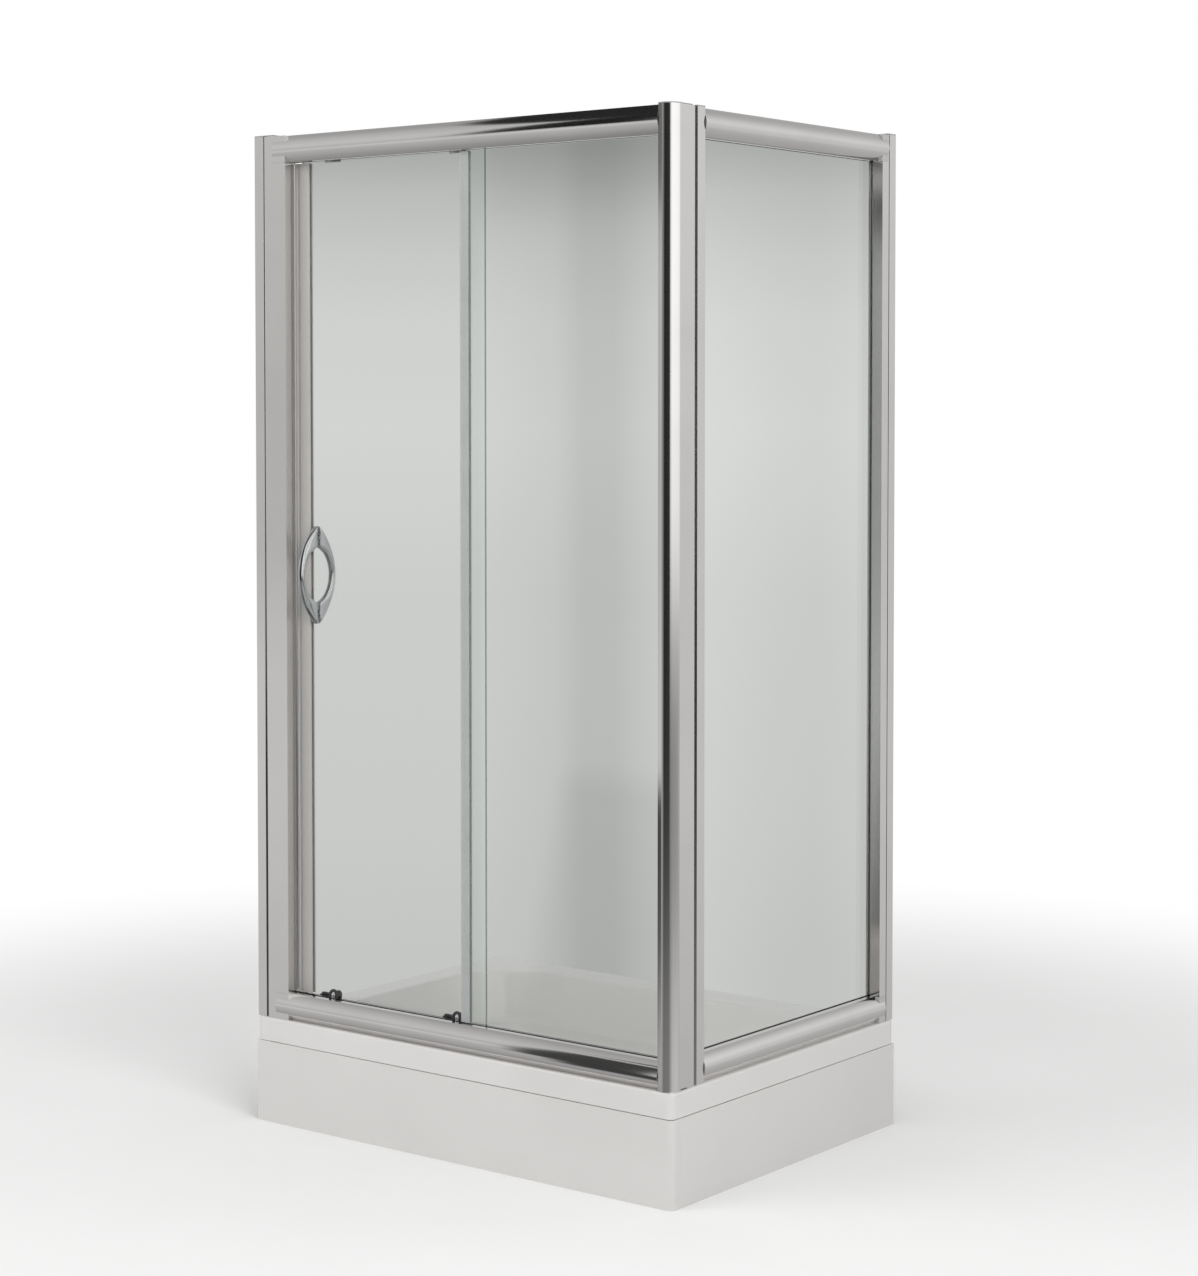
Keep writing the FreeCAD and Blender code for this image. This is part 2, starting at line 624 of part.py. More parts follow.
def support_members(shrink):
    """The square tubes of the support as blocks, shrunk on every side for their hollows."""
    tube = "support_tube"
    level = (f"{SUPPORT_BASE} + {shrink}", f"{SUPPORT_TOP} - {shrink}")
    members = []
    for side, sign in (("low", "-"), ("high", "")):
        edge = f"({sign}{SUPPORT_Y})"
        inner = f"({edge} - ({sign}{tube}))"
        span = (inner, edge) if side == "high" else (edge, inner)
        members.append(box(f"long_tube_{side}", (f"-{SUPPORT_X} + {shrink}", f"{SUPPORT_X} - {shrink}"),
                           (f"{span[0]} + {shrink}", f"{span[1]} - {shrink}"), level))
    reach = (f"-{SUPPORT_Y} + {shrink}", f"{SUPPORT_Y} - {shrink}")
    starts = (f"-{SUPPORT_X}", f"-cross_member_offset - {tube} / 2", f"cross_member_offset - {tube} / 2",
              f"{SUPPORT_X} - {tube}")
    for number, start in enumerate(starts):
        members.append(box(f"cross_tube_{number}", (f"{start} + {shrink}", f"{start} + {tube} - {shrink}"),
                           reach, level))
    upright = (SUPPORT_TOP, "tray_height - tray_wall")
    for x, y in FEET:
        start = foot_place(x, y)
        members.append(box(f"upright_{x + 1}_{y + 1}",
                           (f"{start[0]} - {tube} / 2 + {shrink}", f"{start[0]} + {tube} / 2 - {shrink}"),
                           (f"{start[1]} - {tube} / 2 + {shrink}", f"{start[1]} + {tube} / 2 - {shrink}"),
                           (f"{upright[0]} - {shrink}", f"{upright[1]} - {shrink}")))
    return members


def foot_place(x, y):
    """Plan position of a foot: one of three along the front or the back of the support."""
    return (f"{x} * ({SUPPORT_X} - support_tube / 2)", f"{y} * ({SUPPORT_Y} - support_tube / 2)")


def make_support():
    """The welded tube frame under the tray, with its levelling feet and their locknuts."""
    bores = []
    feet = []
    nuts = []
    for x, y in FEET:
        place = foot_place(x, y)
        name = f"{x + 1}_{y + 1}"
        bores.append(rod(f"spindle_bore_{name}", "Z", "spindle_radius + hole_clearance",
                         (*place, f"{SUPPORT_BASE} - support_gauge"), "3 * support_gauge"))
        shank = rod(f"spindle_{name}", "Z", "spindle_radius", (*place, "foot_pad_height / 2"),
                    f"{SUPPORT_BASE} + spindle_engagement - foot_pad_height / 2")
        sole = document.addObject("Part::Cone", f"foot_sole_{name}")
        bind(sole, "Radius1", "foot_radius")
        bind(sole, "Radius2", "foot_radius / 2")
        bind(sole, "Height", "foot_pad_height")
        move(sole, *place, "0")
        feet.append(fuse(f"foot_{name}", [sole, shank]))
        blank = document.addObject("Part::Prism", f"locknut_blank_{name}")
        blank.Polygon = 6
        bind(blank, "Circumradius", "locknut_radius")
        bind(blank, "Height", "locknut_height")
        move(blank, *place, f"{SUPPORT_BASE} - locknut_height")
        thread = rod(f"locknut_thread_{name}", "Z", "spindle_radius + fit_clearance",
                     (*place, f"{SUPPORT_BASE} - 2 * locknut_height"), "3 * locknut_height")
        nuts.append(cut(f"locknut_{name}", blank, [thread]))
    outside = fuse("support_outside", support_members("0"))
    inside = fuse("support_inside", support_members("support_gauge"))
    part("support_frame", cut("support_frame", outside, [inside] + bores))
    part("levelling_feet", group("levelling_feet", feet))
    part("foot_locknuts", group("foot_locknuts", nuts))


def angle_bracket(label, centre, low, high, turn):
    """A bent bracket whose upright leg lies on an apron and whose flat leg meets the support."""
    # Local axes: X along the apron, Y from the apron inwards, Z up.
    bracket = extrusion(label, "YZ", [[
        ("0", "0"),
        ("bracket_gauge", "0"),
        ("bracket_gauge", "bracket_height - bracket_gauge"),
        (f"({high}) - ({low})", "bracket_height - bracket_gauge"),
        (f"({high}) - ({low})", "bracket_height"),
        ("0", "bracket_height"),
    ]], "bracket_length")
    move(bracket, *centre, turn)
    return bracket


def make_apron_brackets():
    """Brackets between the support's tubes and the backs of the aprons."""
    brackets = []
    base = f"{SUPPORT_TOP} - bracket_height"
    back_of_apron = f"({FRONT} + apron_thickness)"
    for number in (-1, 0, 1):
        along = f"{number} * enclosure_width / 3 - bracket_length / 2"
        brackets.append(angle_bracket(f"front_bracket_{number + 1}", (along, back_of_apron, base),
                                      back_of_apron, f"-{SUPPORT_Y}", 0))
    back_of_side = f"({RIGHT} - apron_thickness)"
    for number in (-1, 1):
        along = f"{number} * enclosure_depth / 4 - bracket_length / 2"
        brackets.append(angle_bracket(f"side_bracket_{number + 1}", (back_of_side, along, base),
                                      SUPPORT_X, back_of_side, 90))
    part("apron_brackets", group("apron_brackets", brackets))


def make_waste():
    """The waste: a flanged cup through the floor with a side outlet, and a lift-out cover."""
    cup_radius = "(waste_hole_radius - cup_clearance)"
    foot = "cup_ground_gap"
    cup_height = f"({FLOOR_TOP} - {foot})"
    centre = (WASTE_X, "0")
    outer = rod("cup_outside", "Z", cup_radius, (*centre, foot), cup_height)
    flange = rod("cup_flange", "Z", "waste_flange_radius", (*centre, FLOOR_TOP), "waste_flange_thickness")
    pipe_start = f"{WASTE_X} - {cup_radius} - outlet_length"
    pipe = rod("outlet_outside", "X", "outlet_radius", (pipe_start, "0", "outlet_height"),
               f"{cup_radius} + outlet_length")
    shoulder = rod("outlet_shoulder", "X", "outlet_radius + outlet_shoulder_rise",
                   (f"{WASTE_X} - {cup_radius} - outlet_shoulder_length", "0", "outlet_height"),
                   f"{cup_radius} + outlet_shoulder_length")
    hollow = rod("cup_inside", "Z", f"{cup_radius} - cup_wall", (*centre, f"{foot} + cup_wall"),
                 f"{cup_height} + waste_flange_thickness")
    bore = rod("outlet_inside", "X", "outlet_radius - outlet_wall", (f"{pipe_start} - 1", "0", "outlet_height"),
               f"outlet_length + {cup_radius} + 1")
    outside = fuse("waste_outside", [outer, flange, pipe, shoulder])
    part("waste_body", cut("waste_body", outside, [hollow, bore]))

    cover_base = f"({FLOOR_TOP} + waste_flange_thickness + cover_seat_gap)"
    body = new_body("waste_cover")
    sketch = new_sketch(body, "XZ")
    crown = "((cover_radius * cover_radius + cover_rise * cover_rise) / (2 * cover_rise))"
    draw(sketch, [
        ("cover_skirt_radius", "0"),
        ("cover_radius", "0"),
        ("cover_radius", "cover_plate"),
        ("0", "cover_plate + cover_rise", crown, "left"),
        ("0", "cover_plate"),
        ("cover_skirt_radius - cover_plate", "cover_plate"),
        ("cover_skirt_radius - cover_plate", "-cover_skirt_depth"),
        ("cover_skirt_radius", "-cover_skirt_depth"),
    ])
    turned = body.newObject("PartDesign::Revolution", "cover_turned")
    turned.Profile = sketch
    turned.ReferenceAxis = (sketch, ["V_Axis"])
    turned.Angle = 360
    move(body, *centre, cover_base)
    part("waste_cover", body)


# ---------------------------------------------------------------- the frame

def wall_channel(label, width, depth):
    """A channel against a wall, its back at local X 0, its mouth towards +X, its face at Y 0."""
    wall = "profile_wall"
    return extrusion(label, "XY", [[
        ("0", "0"),
        (width, "0"),
        (width, wall),
        (wall, wall),
        (wall, f"{depth} - {wall}"),
        (width, f"{depth} - {wall}"),
        (width, depth),
        ("0", depth),
    ]], f"{FRAME_TOP} - tray_height")


SCREWS_ALONG = 4
# A joining screw's length: through the channel and the tongue's wall, and out of it a little.
SCREW_REACH = "profile_wall + tongue_clearance + chamber_wall + screw_end_reach"


def row_height(number, edge):
    """Height of one of the screws along an upright, the outer two an edge away from its ends."""
    low = f"(tray_height + {edge})"
    high = f"({FRAME_TOP} - {edge})"
    return f"({low} + {number} * ({high} - {low}) / {SCREWS_ALONG - 1})"


def wall_holes(label, axis, place, wall_thickness):
    """The holes for the wall screws in the back of a wall profile."""
    holes = []
    for number in range(SCREWS_ALONG):
        start = (*place, row_height(number, "wall_screw_edge"))
        holes.append(rod(f"{label}_{number}", axis, "wall_screw_radius", start, wall_thickness))
    return holes


def joining_screws(label, x, y, axis, length, edge="profile_screw_edge"):
    """Screws that hold a tongue in its channel; heads at the start, shanks along +axis.

    Gives the screws and the matching drills for the pieces that they pass through.
    """
    screws = []
    drills = []
    for number in range(SCREWS_ALONG):
        height = row_height(number, edge)
        name = f"{label}_{number}"
        if axis == "Y":
            inward = (x, f"{y} - ({length})", height)
            head_start = (x, y, height)
        else:
            inward = (x, y, height)
            head_start = (f"{x} - profile_screw_head_height", y, height)
        shank = rod(name + "_shank", axis, "profile_screw_radius", inward, length)
        head = rod(name + "_head", axis, "profile_screw_head", head_start, "profile_screw_head_height")
        screws.append(fuse(name, [shank, head]))
        drills.append(rod(name + "_drill", axis, "profile_screw_radius + fit_clearance", inward,
                          f"{length} + fit_clearance"))
    return screws, drills


def jamb_section():
    """The left jamb in plan: a tongue, a neck and a wide hollow part with a stepped reveal."""
    thin = "chamber_wall"
    depth = "front_profile_depth"
    inside = "(profile_wall + tongue_clearance)"
    tongue = "(-left_groove - tongue_overlap)"
    outline = [
        (tongue, inside),
        ("0", inside),
        ("0", "0"),
        ("jamb_width", "0"),
        ("jamb_width", "reveal_start"),
        ("jamb_width - reveal_step", "reveal_start"),
        ("jamb_width - reveal_step", "reveal_end"),
        ("jamb_width", "reveal_end"),
        ("jamb_width", depth),
        ("0", depth),
        ("0", f"{depth} - {inside}"),
        (tongue, f"{depth} - {inside}"),
    ]
    chambers = [
        oblong((f"{tongue} + {thin}", f"-{thin}"), (f"{inside} + {thin}", f"{depth} - {inside} - {thin}")),
        oblong((thin, f"jamb_neck - {thin}"), (thin, f"{depth} - {thin}")),
        oblong(("jamb_neck", f"jamb_width - reveal_step - {thin}"), (thin, f"{depth} - {thin}")),
    ]
    return [outline] + chambers


def rail_notches(label, x, y):
    """Blocks that take an upright away where the rails' ends stand, with a hair of room."""
    room = "hole_clearance"
    low = box(label + "_low", x, y, ("tray_height - 1", f"{LOW_RAIL_TOP} + {room}"))
    high = box(label + "_high", x, y, (f"{HIGH_RAIL_BASE} - {room}", "enclosure_height + 1"))
    return [low, high]


def make_left_uprights():
    """The wall profile and the jamb that slides in it, with the jamb's magnetic strip."""
    screw_x = f"{LEFT} + wall_profile_width - tongue_overlap / 2"
    inner_face = f"{FRONT_FACE_Y} + front_profile_depth"
    reach = SCREW_REACH
    screws, drills = joining_screws("left_joining_screw", screw_x, inner_face, "Y", reach)
    profile = wall_channel("left_wall_bar", "wall_profile_width", "front_profile_depth")
    move(profile, LEFT, FRONT_FACE_Y, "tray_height")
    middle = (LEFT, f"{FRONT_FACE_Y} + front_profile_depth / 2")
    holes = wall_holes("left_wall_hole", "X", middle, "profile_wall")
    part("left_wall_profile", cut("left_wall_profile", profile, holes + drills))

    jamb = extrusion("left_jamb_bar", "XY", jamb_section(), f"{FRAME_TOP} - tray_height")
    move(jamb, JAMB_X, FRONT_FACE_Y, "tray_height")
    notches = rail_notches("jamb_notch", (RAIL_START_X, f"{REVEAL_X} + 1"),
                           (f"{FRONT} - 1", f"{inner_face} + 1"))
    part("left_jamb", cut("left_jamb", jamb, notches + drills))

    strip = extrusion("jamb_magnet_strip", "XY", [magnet_section("")],
                      f"{HIGH_RAIL_BASE} - {LOW_RAIL_TOP} - 2 * door_edge_rail_gap")
    move(strip, REVEAL_X, DOOR_Y, f"{LOW_RAIL_TOP} + door_edge_rail_gap")
    part("jamb_magnet_strip", strip)
    return screws


def magnet_section(sign):
    """A magnetic strip in plan: a flat foot and a narrower face, standing out from local X 0."""
    step = "(magnet_depth / 3)"
    half = "(magnet_width / 2)"
    corners = [
        ("0", f"-{half}"),
        (f"{step}", f"-{half}"),
        ("magnet_depth", f"-{half} + {step}"),
        ("magnet_depth", f"{half} - {step}"),
        (f"{step}", half),
        ("0", half),
    ]
    return [(f"{sign}{u}", v) for u, v in corners]


def make_corner_post():
    """The rounded corner post, with the slot for the fixed pane and the channel for the side."""
    width = "(post_setback + post_front_width)"
    face = "profile_setback"
    wall = "profile_wall"
    slot_middle = "(rail_setback + glass_setback)"
    slot = (f"({slot_middle} - pocket_width / 2)", f"({slot_middle} + pocket_width / 2)")
    slot_end = f"({width} - upright_pocket_depth)"
    channel_end = "(post_setback + post_side_width + post_channel)"
    floor = "(post_setback + post_channel_floor)"
    centre = "(post_setback + post_radius)"
    outline = [
        (f"-{width}", face),
        (f"-{width} + post_flange", face),
        (f"-{width} + post_flange", "post_setback"),
        (f"-{centre}", "post_setback"),
        ("-post_setback", centre, "post_radius", "left"),
        ("-post_setback", "post_setback + post_side_width"),
        (f"-{face}", "post_setback + post_side_width"),
        (f"-{face}", channel_end),
        (f"-{face} - {wall}", channel_end),
        (f"-{face} - {wall}", floor),
        (f"-{width} + {wall}", floor),
        (f"-{width} + {wall}", channel_end),
        (f"-{width}", channel_end),
        (f"-{width}", slot[1]),
        (f"-{slot_end}", slot[1]),
        (f"-{slot_end}", slot[0]),
        (f"-{width}", slot[0]),
    ]
    inner = "(post_setback + post_wall)"
    inside = "(post_radius - post_wall)"
    chamber = [
        (f"-{width} + {wall}", inner),
        (f"-{centre}", inner),
        (f"-{inner}", centre, inside, "left"),
        (f"-{inner}", f"{floor} - {wall}"),
        (f"-{slot_end} + {wall}", f"{floor} - {wall}"),
        (f"-{slot_end} + {wall}", f"{slot[0]} - {wall}"),
        (f"-{width} + {wall}", f"{slot[0]} - {wall}"),
    ]
    post = extrusion("corner_post_bar", "XY", [outline, chamber], f"{FRAME_TOP} - tray_height")
    move(post, RIGHT, FRONT, "tray_height")
    screw_y = f"({POST_END_Y} - tongue_overlap / 2)"
    reach = SCREW_REACH
    screws, drills = joining_screws("post_joining_screw", POST_X, screw_y, "X", reach)
    undercut = box("post_undercut", (f"{POST_X} - 1", f"{RIGHT} + 1"), (POST_SIDE_Y, f"{POST_END_Y} + 1"),
                   ("tray_height - 1", "tray_height + post_foot_gap"))
    part("corner_post", cut("corner_post", post, drills + [undercut]))
    cap = extrusion("post_cap", "XY", [outline[:8] + [(f"-{width}", channel_end)]], "cap_thickness")
    move(cap, RIGHT, FRONT, FRAME_TOP)
    part("post_cap", cap)
    return screws, drills


def make_side_uprights(post_drills):
    """The side's front stile, its rear jamb and the rear wall profile."""
    thin = "chamber_wall"
    gap = "(profile_wall + tongue_clearance)"
    width = f"({POST_X} - {SIDE_FACE_X})"
    pocket = (f"({SIDE_GLASS_X} - {SIDE_FACE_X} - pocket_width / 2)",
              f"({SIDE_GLASS_X} - {SIDE_FACE_X} + pocket_width / 2)")
    tongue = "(-side_groove - tongue_overlap)"
    end = "stile_width"
    stile_outline = [
        (f"{width} + {gap}", tongue),
        (f"-{gap}", tongue),
        (f"-{gap}", "0"),
        ("0", "0"),
        ("0", end),
        (pocket[1], end),
        (pocket[1], f"{end} - upright_pocket_depth"),
        (pocket[0], f"{end} - upright_pocket_depth"),
        (pocket[0], end),
        (width, end),
        (width, "0"),
        (f"{width} + {gap}", "0"),
    ]
    stile_chambers = [
        oblong((f"{width} + {gap} + {thin}", f"-{gap} - {thin}"), (f"{tongue} + {thin}", f"-{thin}")),
        oblong((f"{width} + {thin}", f"-{thin}"), (thin, f"{end} - upright_pocket_depth - {thin}")),
    ]
    stile = extrusion("side_stile_bar", "XY", [stile_outline] + stile_chambers, f"{FRAME_TOP} - tray_height")
    move(stile, SIDE_FACE_X, STILE_Y, "tray_height")
    part("side_front_stile", cut("side_front_stile", stile, post_drills))

    deep = "(-side_profile_depth)"
    rear = "(rear_groove + tongue_overlap)"
    jamb_outline = [
        ("0", "-rear_jamb_width"),
        ("0", "0"),
        (f"-{gap}", "0"),
        (f"-{gap}", rear),
        (f"{deep} + {gap}", rear),
        (f"{deep} + {gap}", "0"),
        (deep, "0"),
        (deep, "-rear_jamb_width"),
        (pocket[0], "-rear_jamb_width"),
        (pocket[0], "-rear_jamb_width + upright_pocket_depth"),
        (pocket[1], "-rear_jamb_width + upright_pocket_depth"),
        (pocket[1], "-rear_jamb_width"),
    ]
    jamb_chambers = [
        oblong((f"{deep} + {gap} + {thin}", f"-{gap} - {thin}"), (thin, f"{rear} - {thin}")),
        oblong((f"{deep} + {thin}", f"-{thin}"),
               (f"-rear_jamb_width + upright_pocket_depth + {thin}", f"-rear_jamb_neck")),
    ]
    screw_y = f"({BACK} - rear_profile_width + tongue_overlap / 2)"
    inner_x = f"({SIDE_FACE_X} - side_profile_depth)"
    reach = SCREW_REACH
    screws, drills = joining_screws("rear_joining_screw", inner_x, screw_y, "X", reach)
    jamb = extrusion("rear_jamb_bar", "XY", [jamb_outline] + jamb_chambers, f"{FRAME_TOP} - tray_height")
    move(jamb, SIDE_FACE_X, REAR_JAMB_Y, "tray_height")
    notches = rail_notches("rear_notch", (f"{inner_x} - 1", f"{RIGHT} + 1"),
                           (f"{REAR_REVEAL_Y} - 1", SIDE_RAIL_END_Y))
    part("side_rear_jamb", cut("side_rear_jamb", jamb, notches + drills))

    profile = wall_channel("rear_wall_bar", "rear_profile_width", "side_profile_depth")
    move(profile, inner_x, BACK, "tray_height", turn=-90)
    middle = (f"{SIDE_FACE_X} - side_profile_depth / 2", f"{BACK} - profile_wall")
    holes = wall_holes("rear_wall_hole", "Y", middle, "profile_wall")
    part("rear_wall_profile", cut("rear_wall_profile", profile, holes + drills))
    return screws


def make_wall_caps():
    """Plastic caps on the two wall profiles, their jambs and the side's stile."""
    left = box("left_cap", (LEFT, RAIL_START_X), (FRONT_FACE_Y, f"{FRONT_FACE_Y} + front_profile_depth"),
               (FRAME_TOP, "enclosure_height"))
    rear = box("rear_cap", (f"{SIDE_FACE_X} - side_profile_depth", SIDE_FACE_X),
               (SIDE_RAIL_END_Y, BACK), (FRAME_TOP, "enclosure_height"))
    stile = box("stile_cap", (POST_X, SIDE_FACE_X), (STILE_Y, SIDE_RAIL_START_Y),
                (FRAME_TOP, "enclosure_height"))
    part("profile_caps", group("profile_caps", [left, rear, stile]))


BULGE_RADIUS = "((rail_height * rail_height / 4 + rail_bulge * rail_bulge) / (2 * rail_bulge))"
INNER_BULGE = "(rail_bulge - rail_wall)"
INNER_HALF = "(rail_height / 2 - rail_wall)"
INNER_RADIUS = f"(({INNER_HALF} * {INNER_HALF} + {INNER_BULGE} * {INNER_BULGE}) / (2 * {INNER_BULGE}))"
POCKET_NEAR = "(glass_setback - pocket_width / 2)"
POCKET_FAR = "(glass_setback + pocket_width / 2)"
CHANNEL_NEAR = f"({POCKET_FAR} + pocket_wall)"
CHANNEL_FAR = "(front_rail_depth - channel_back_wall)"
TRACK_MIDDLE = "(glass_setback + glass_thickness + pane_gap + wheel_offset)"
LEDGE_START = f"({TRACK_MIDDLE} - wheel_width / 2 - 1)"


def upside_down(corners):
    """The same section hung from its top: heights measured down, its order kept."""
    turned = []
    for place, corner in enumerate(reversed(corners)):
        ahead = corners[len(corners) - 1 - place + 1 - len(corners)]
        turned.append((corner[0], f"(rail_height - ({corner[1]}))", *ahead[2:]))
    return turned


def low_front_section():
    """The front bottom rail: bulging face, glazing pocket, and the door's channel with its rib."""
    wall = "rail_wall"
    rib = (f"({TRACK_MIDDLE} - track_width / 2)", f"({TRACK_MIDDLE} + track_width / 2)")
    outline = [
        ("rail_bulge", "0", BULGE_RADIUS, "left"),
        ("front_rail_depth", "0"),
        ("front_rail_depth", "channel_back_height"),
        (CHANNEL_FAR, "channel_back_height"),
        (CHANNEL_FAR, "channel_floor"),
        (rib[1], "channel_floor"),
        (rib[1], "channel_floor + track_height"),
        (rib[0], "channel_floor + track_height"),
        (rib[0], "channel_floor"),
        (CHANNEL_NEAR, "channel_floor"),
        (CHANNEL_NEAR, "rail_height"),
        (POCKET_FAR, "rail_height"),
        (POCKET_FAR, "rail_height - pocket_depth"),
        (POCKET_NEAR, "rail_height - pocket_depth"),
        (POCKET_NEAR, "rail_height"),
        ("rail_bulge", "rail_height"),
    ]
    chamber = [
        ("rail_bulge", wall, INNER_RADIUS, "left"),
        (f"{CHANNEL_FAR}", wall),
        (f"{CHANNEL_FAR}", f"channel_floor - {wall}"),
        (f"{CHANNEL_NEAR} - {wall}", f"channel_floor - {wall}"),
        (f"{CHANNEL_NEAR} - {wall}", f"rail_height - pocket_depth - {wall}"),
        (f"{POCKET_NEAR} - {wall}", f"rail_height - pocket_depth - {wall}"),
        (f"{POCKET_NEAR} - {wall}", f"rail_height - {wall}"),
        ("rail_bulge", f"rail_height - {wall}"),
    ]
    return [outline, chamber]


def high_front_section():
    """The front top rail: bulging face, glazing pocket, and the cavity with the running ledge."""
    wall = "rail_wall"
    outline = [
        ("rail_bulge", "0", BULGE_RADIUS, "left"),
        (POCKET_NEAR, "0"),
        (POCKET_NEAR, "pocket_depth"),
        (POCKET_FAR, "pocket_depth"),
        (POCKET_FAR, "0"),
        (CHANNEL_NEAR, "0"),
        (CHANNEL_NEAR, f"rail_height - {wall}"),
        (CHANNEL_FAR, f"rail_height - {wall}"),
        (CHANNEL_FAR, "ledge_height + ledge_thickness"),
        (LEDGE_START, "ledge_height + ledge_thickness"),
        (LEDGE_START, "ledge_height"),
        ("front_rail_depth", "ledge_height"),
        ("front_rail_depth", "rail_height"),
        ("rail_bulge", "rail_height"),
    ]
    chamber = [
        ("rail_bulge", wall, INNER_RADIUS, "left"),
        (f"{POCKET_NEAR} - {wall}", wall),
        (f"{POCKET_NEAR} - {wall}", f"pocket_depth + {wall}"),
        (f"{CHANNEL_NEAR} - {wall}", f"pocket_depth + {wall}"),
        (f"{CHANNEL_NEAR} - {wall}", f"rail_height - {wall}"),
        ("rail_bulge", f"rail_height - {wall}"),
    ]
    return [outline, chamber]


def low_side_section():
    """The side bottom rail: bulging face and a glazing pocket that opens upwards."""
    wall = "rail_wall"
    outline = [
        ("rail_bulge", "0", BULGE_RADIUS, "left"),
        ("side_rail_depth", "0"),
        ("side_rail_depth", "rail_height"),
        (POCKET_FAR, "rail_height"),
        (POCKET_FAR, "rail_height - pocket_depth"),
        (POCKET_NEAR, "rail_height - pocket_depth"),
        (POCKET_NEAR, "rail_height"),
        ("rail_bulge", "rail_height"),
    ]
    chamber = [
        ("rail_bulge", wall, INNER_RADIUS, "left"),
        (f"side_rail_depth - {wall}", wall),
        (f"side_rail_depth - {wall}", f"rail_height - pocket_depth - {wall}"),
        (f"{POCKET_NEAR} - {wall}", f"rail_height - pocket_depth - {wall}"),
        (f"{POCKET_NEAR} - {wall}", f"rail_height - {wall}"),
        ("rail_bulge", f"rail_height - {wall}"),
    ]
    return [outline, chamber]


def high_side_section():
    """The side top rail: the bottom one's section hung upside down."""
    return [upside_down(corners) for corners in low_side_section()]


def make_rails():
    """The four rails.  Their sections are drawn with Y inwards from the crown and Z up."""
    front_length = f"{POST_X} - {RAIL_START_X}"
    side_length = f"{SIDE_RAIL_END_Y} - {SIDE_RAIL_START_Y}"
    low = extrusion("front_bottom_rail", "YZ", low_front_section(), front_length)
    move(low, RAIL_START_X, RAIL_CROWN_Y, "tray_height")
    part("front_bottom_rail", low)
    high = extrusion("front_top_rail", "YZ", high_front_section(), front_length)
    move(high, RAIL_START_X, RAIL_CROWN_Y, HIGH_RAIL_BASE)
    part("front_top_rail", high)
    low = extrusion("side_bottom_rail", "YZ", low_side_section(), side_length)
    move(low, SIDE_CROWN_X, SIDE_RAIL_START_Y, "tray_height", turn=90)
    part("side_bottom_rail", low)
    high = extrusion("side_top_rail", "YZ", high_side_section(), side_length)
    move(high, SIDE_CROWN_X, SIDE_RAIL_START_Y, HIGH_RAIL_BASE, turn=90)
    part("side_top_rail", high)


# ---------------------------------------------------------------- fixed panes, gaskets and seal

POST_POCKET_X = f"({POST_X} + upright_pocket_depth)"
STILE_POCKET_Y = f"({SIDE_RAIL_START_Y} - upright_pocket_depth)"
REAR_POCKET_Y = f"({REAR_REVEAL_Y} + upright_pocket_depth)"


def gasket_section():
    """A glazing gasket: a U round a pane's edge, its mouth towards +Z, middled on local Y 0."""
    half = "(pocket_width / 2 - gasket_clearance)"
    slot = "(glass_thickness / 2)"
    floor = "(glass_end_gap - gasket_clearance)"
    return [
        (f"-{half}", f"{floor} - gasket_web"),
        (half, f"{floor} - gasket_web"),
        (half, "upright_pocket_depth"),
        (slot, "upright_pocket_depth"),
        (slot, floor),
        (f"-{slot}", floor),
        (f"-{slot}", "upright_pocket_depth"),
        (f"-{half}", "upright_pocket_depth"),
    ]


def gasket(label, length, place, rotation):
    """One gasket, laid along its pocket by a rotation of its section's X axis run."""
    run = extrusion(label, "YZ", [gasket_section()], length)
    move(run, *place)
    run.Placement.Rotation = rotation
    return run


def turn_about(*steps):
    """A rotation made of quarter turns, each given as (axis, degrees), done in order."""
    total = FreeCAD.Rotation()
    for axis, degrees in steps:
        total = FreeCAD.Rotation(axis, degrees) * total
    return total


ALONG_X = FreeCAD.Vector(1, 0, 0)
ALONG_Y = FreeCAD.Vector(0, 1, 0)
ALONG_Z = FreeCAD.Vector(0, 0, 1)


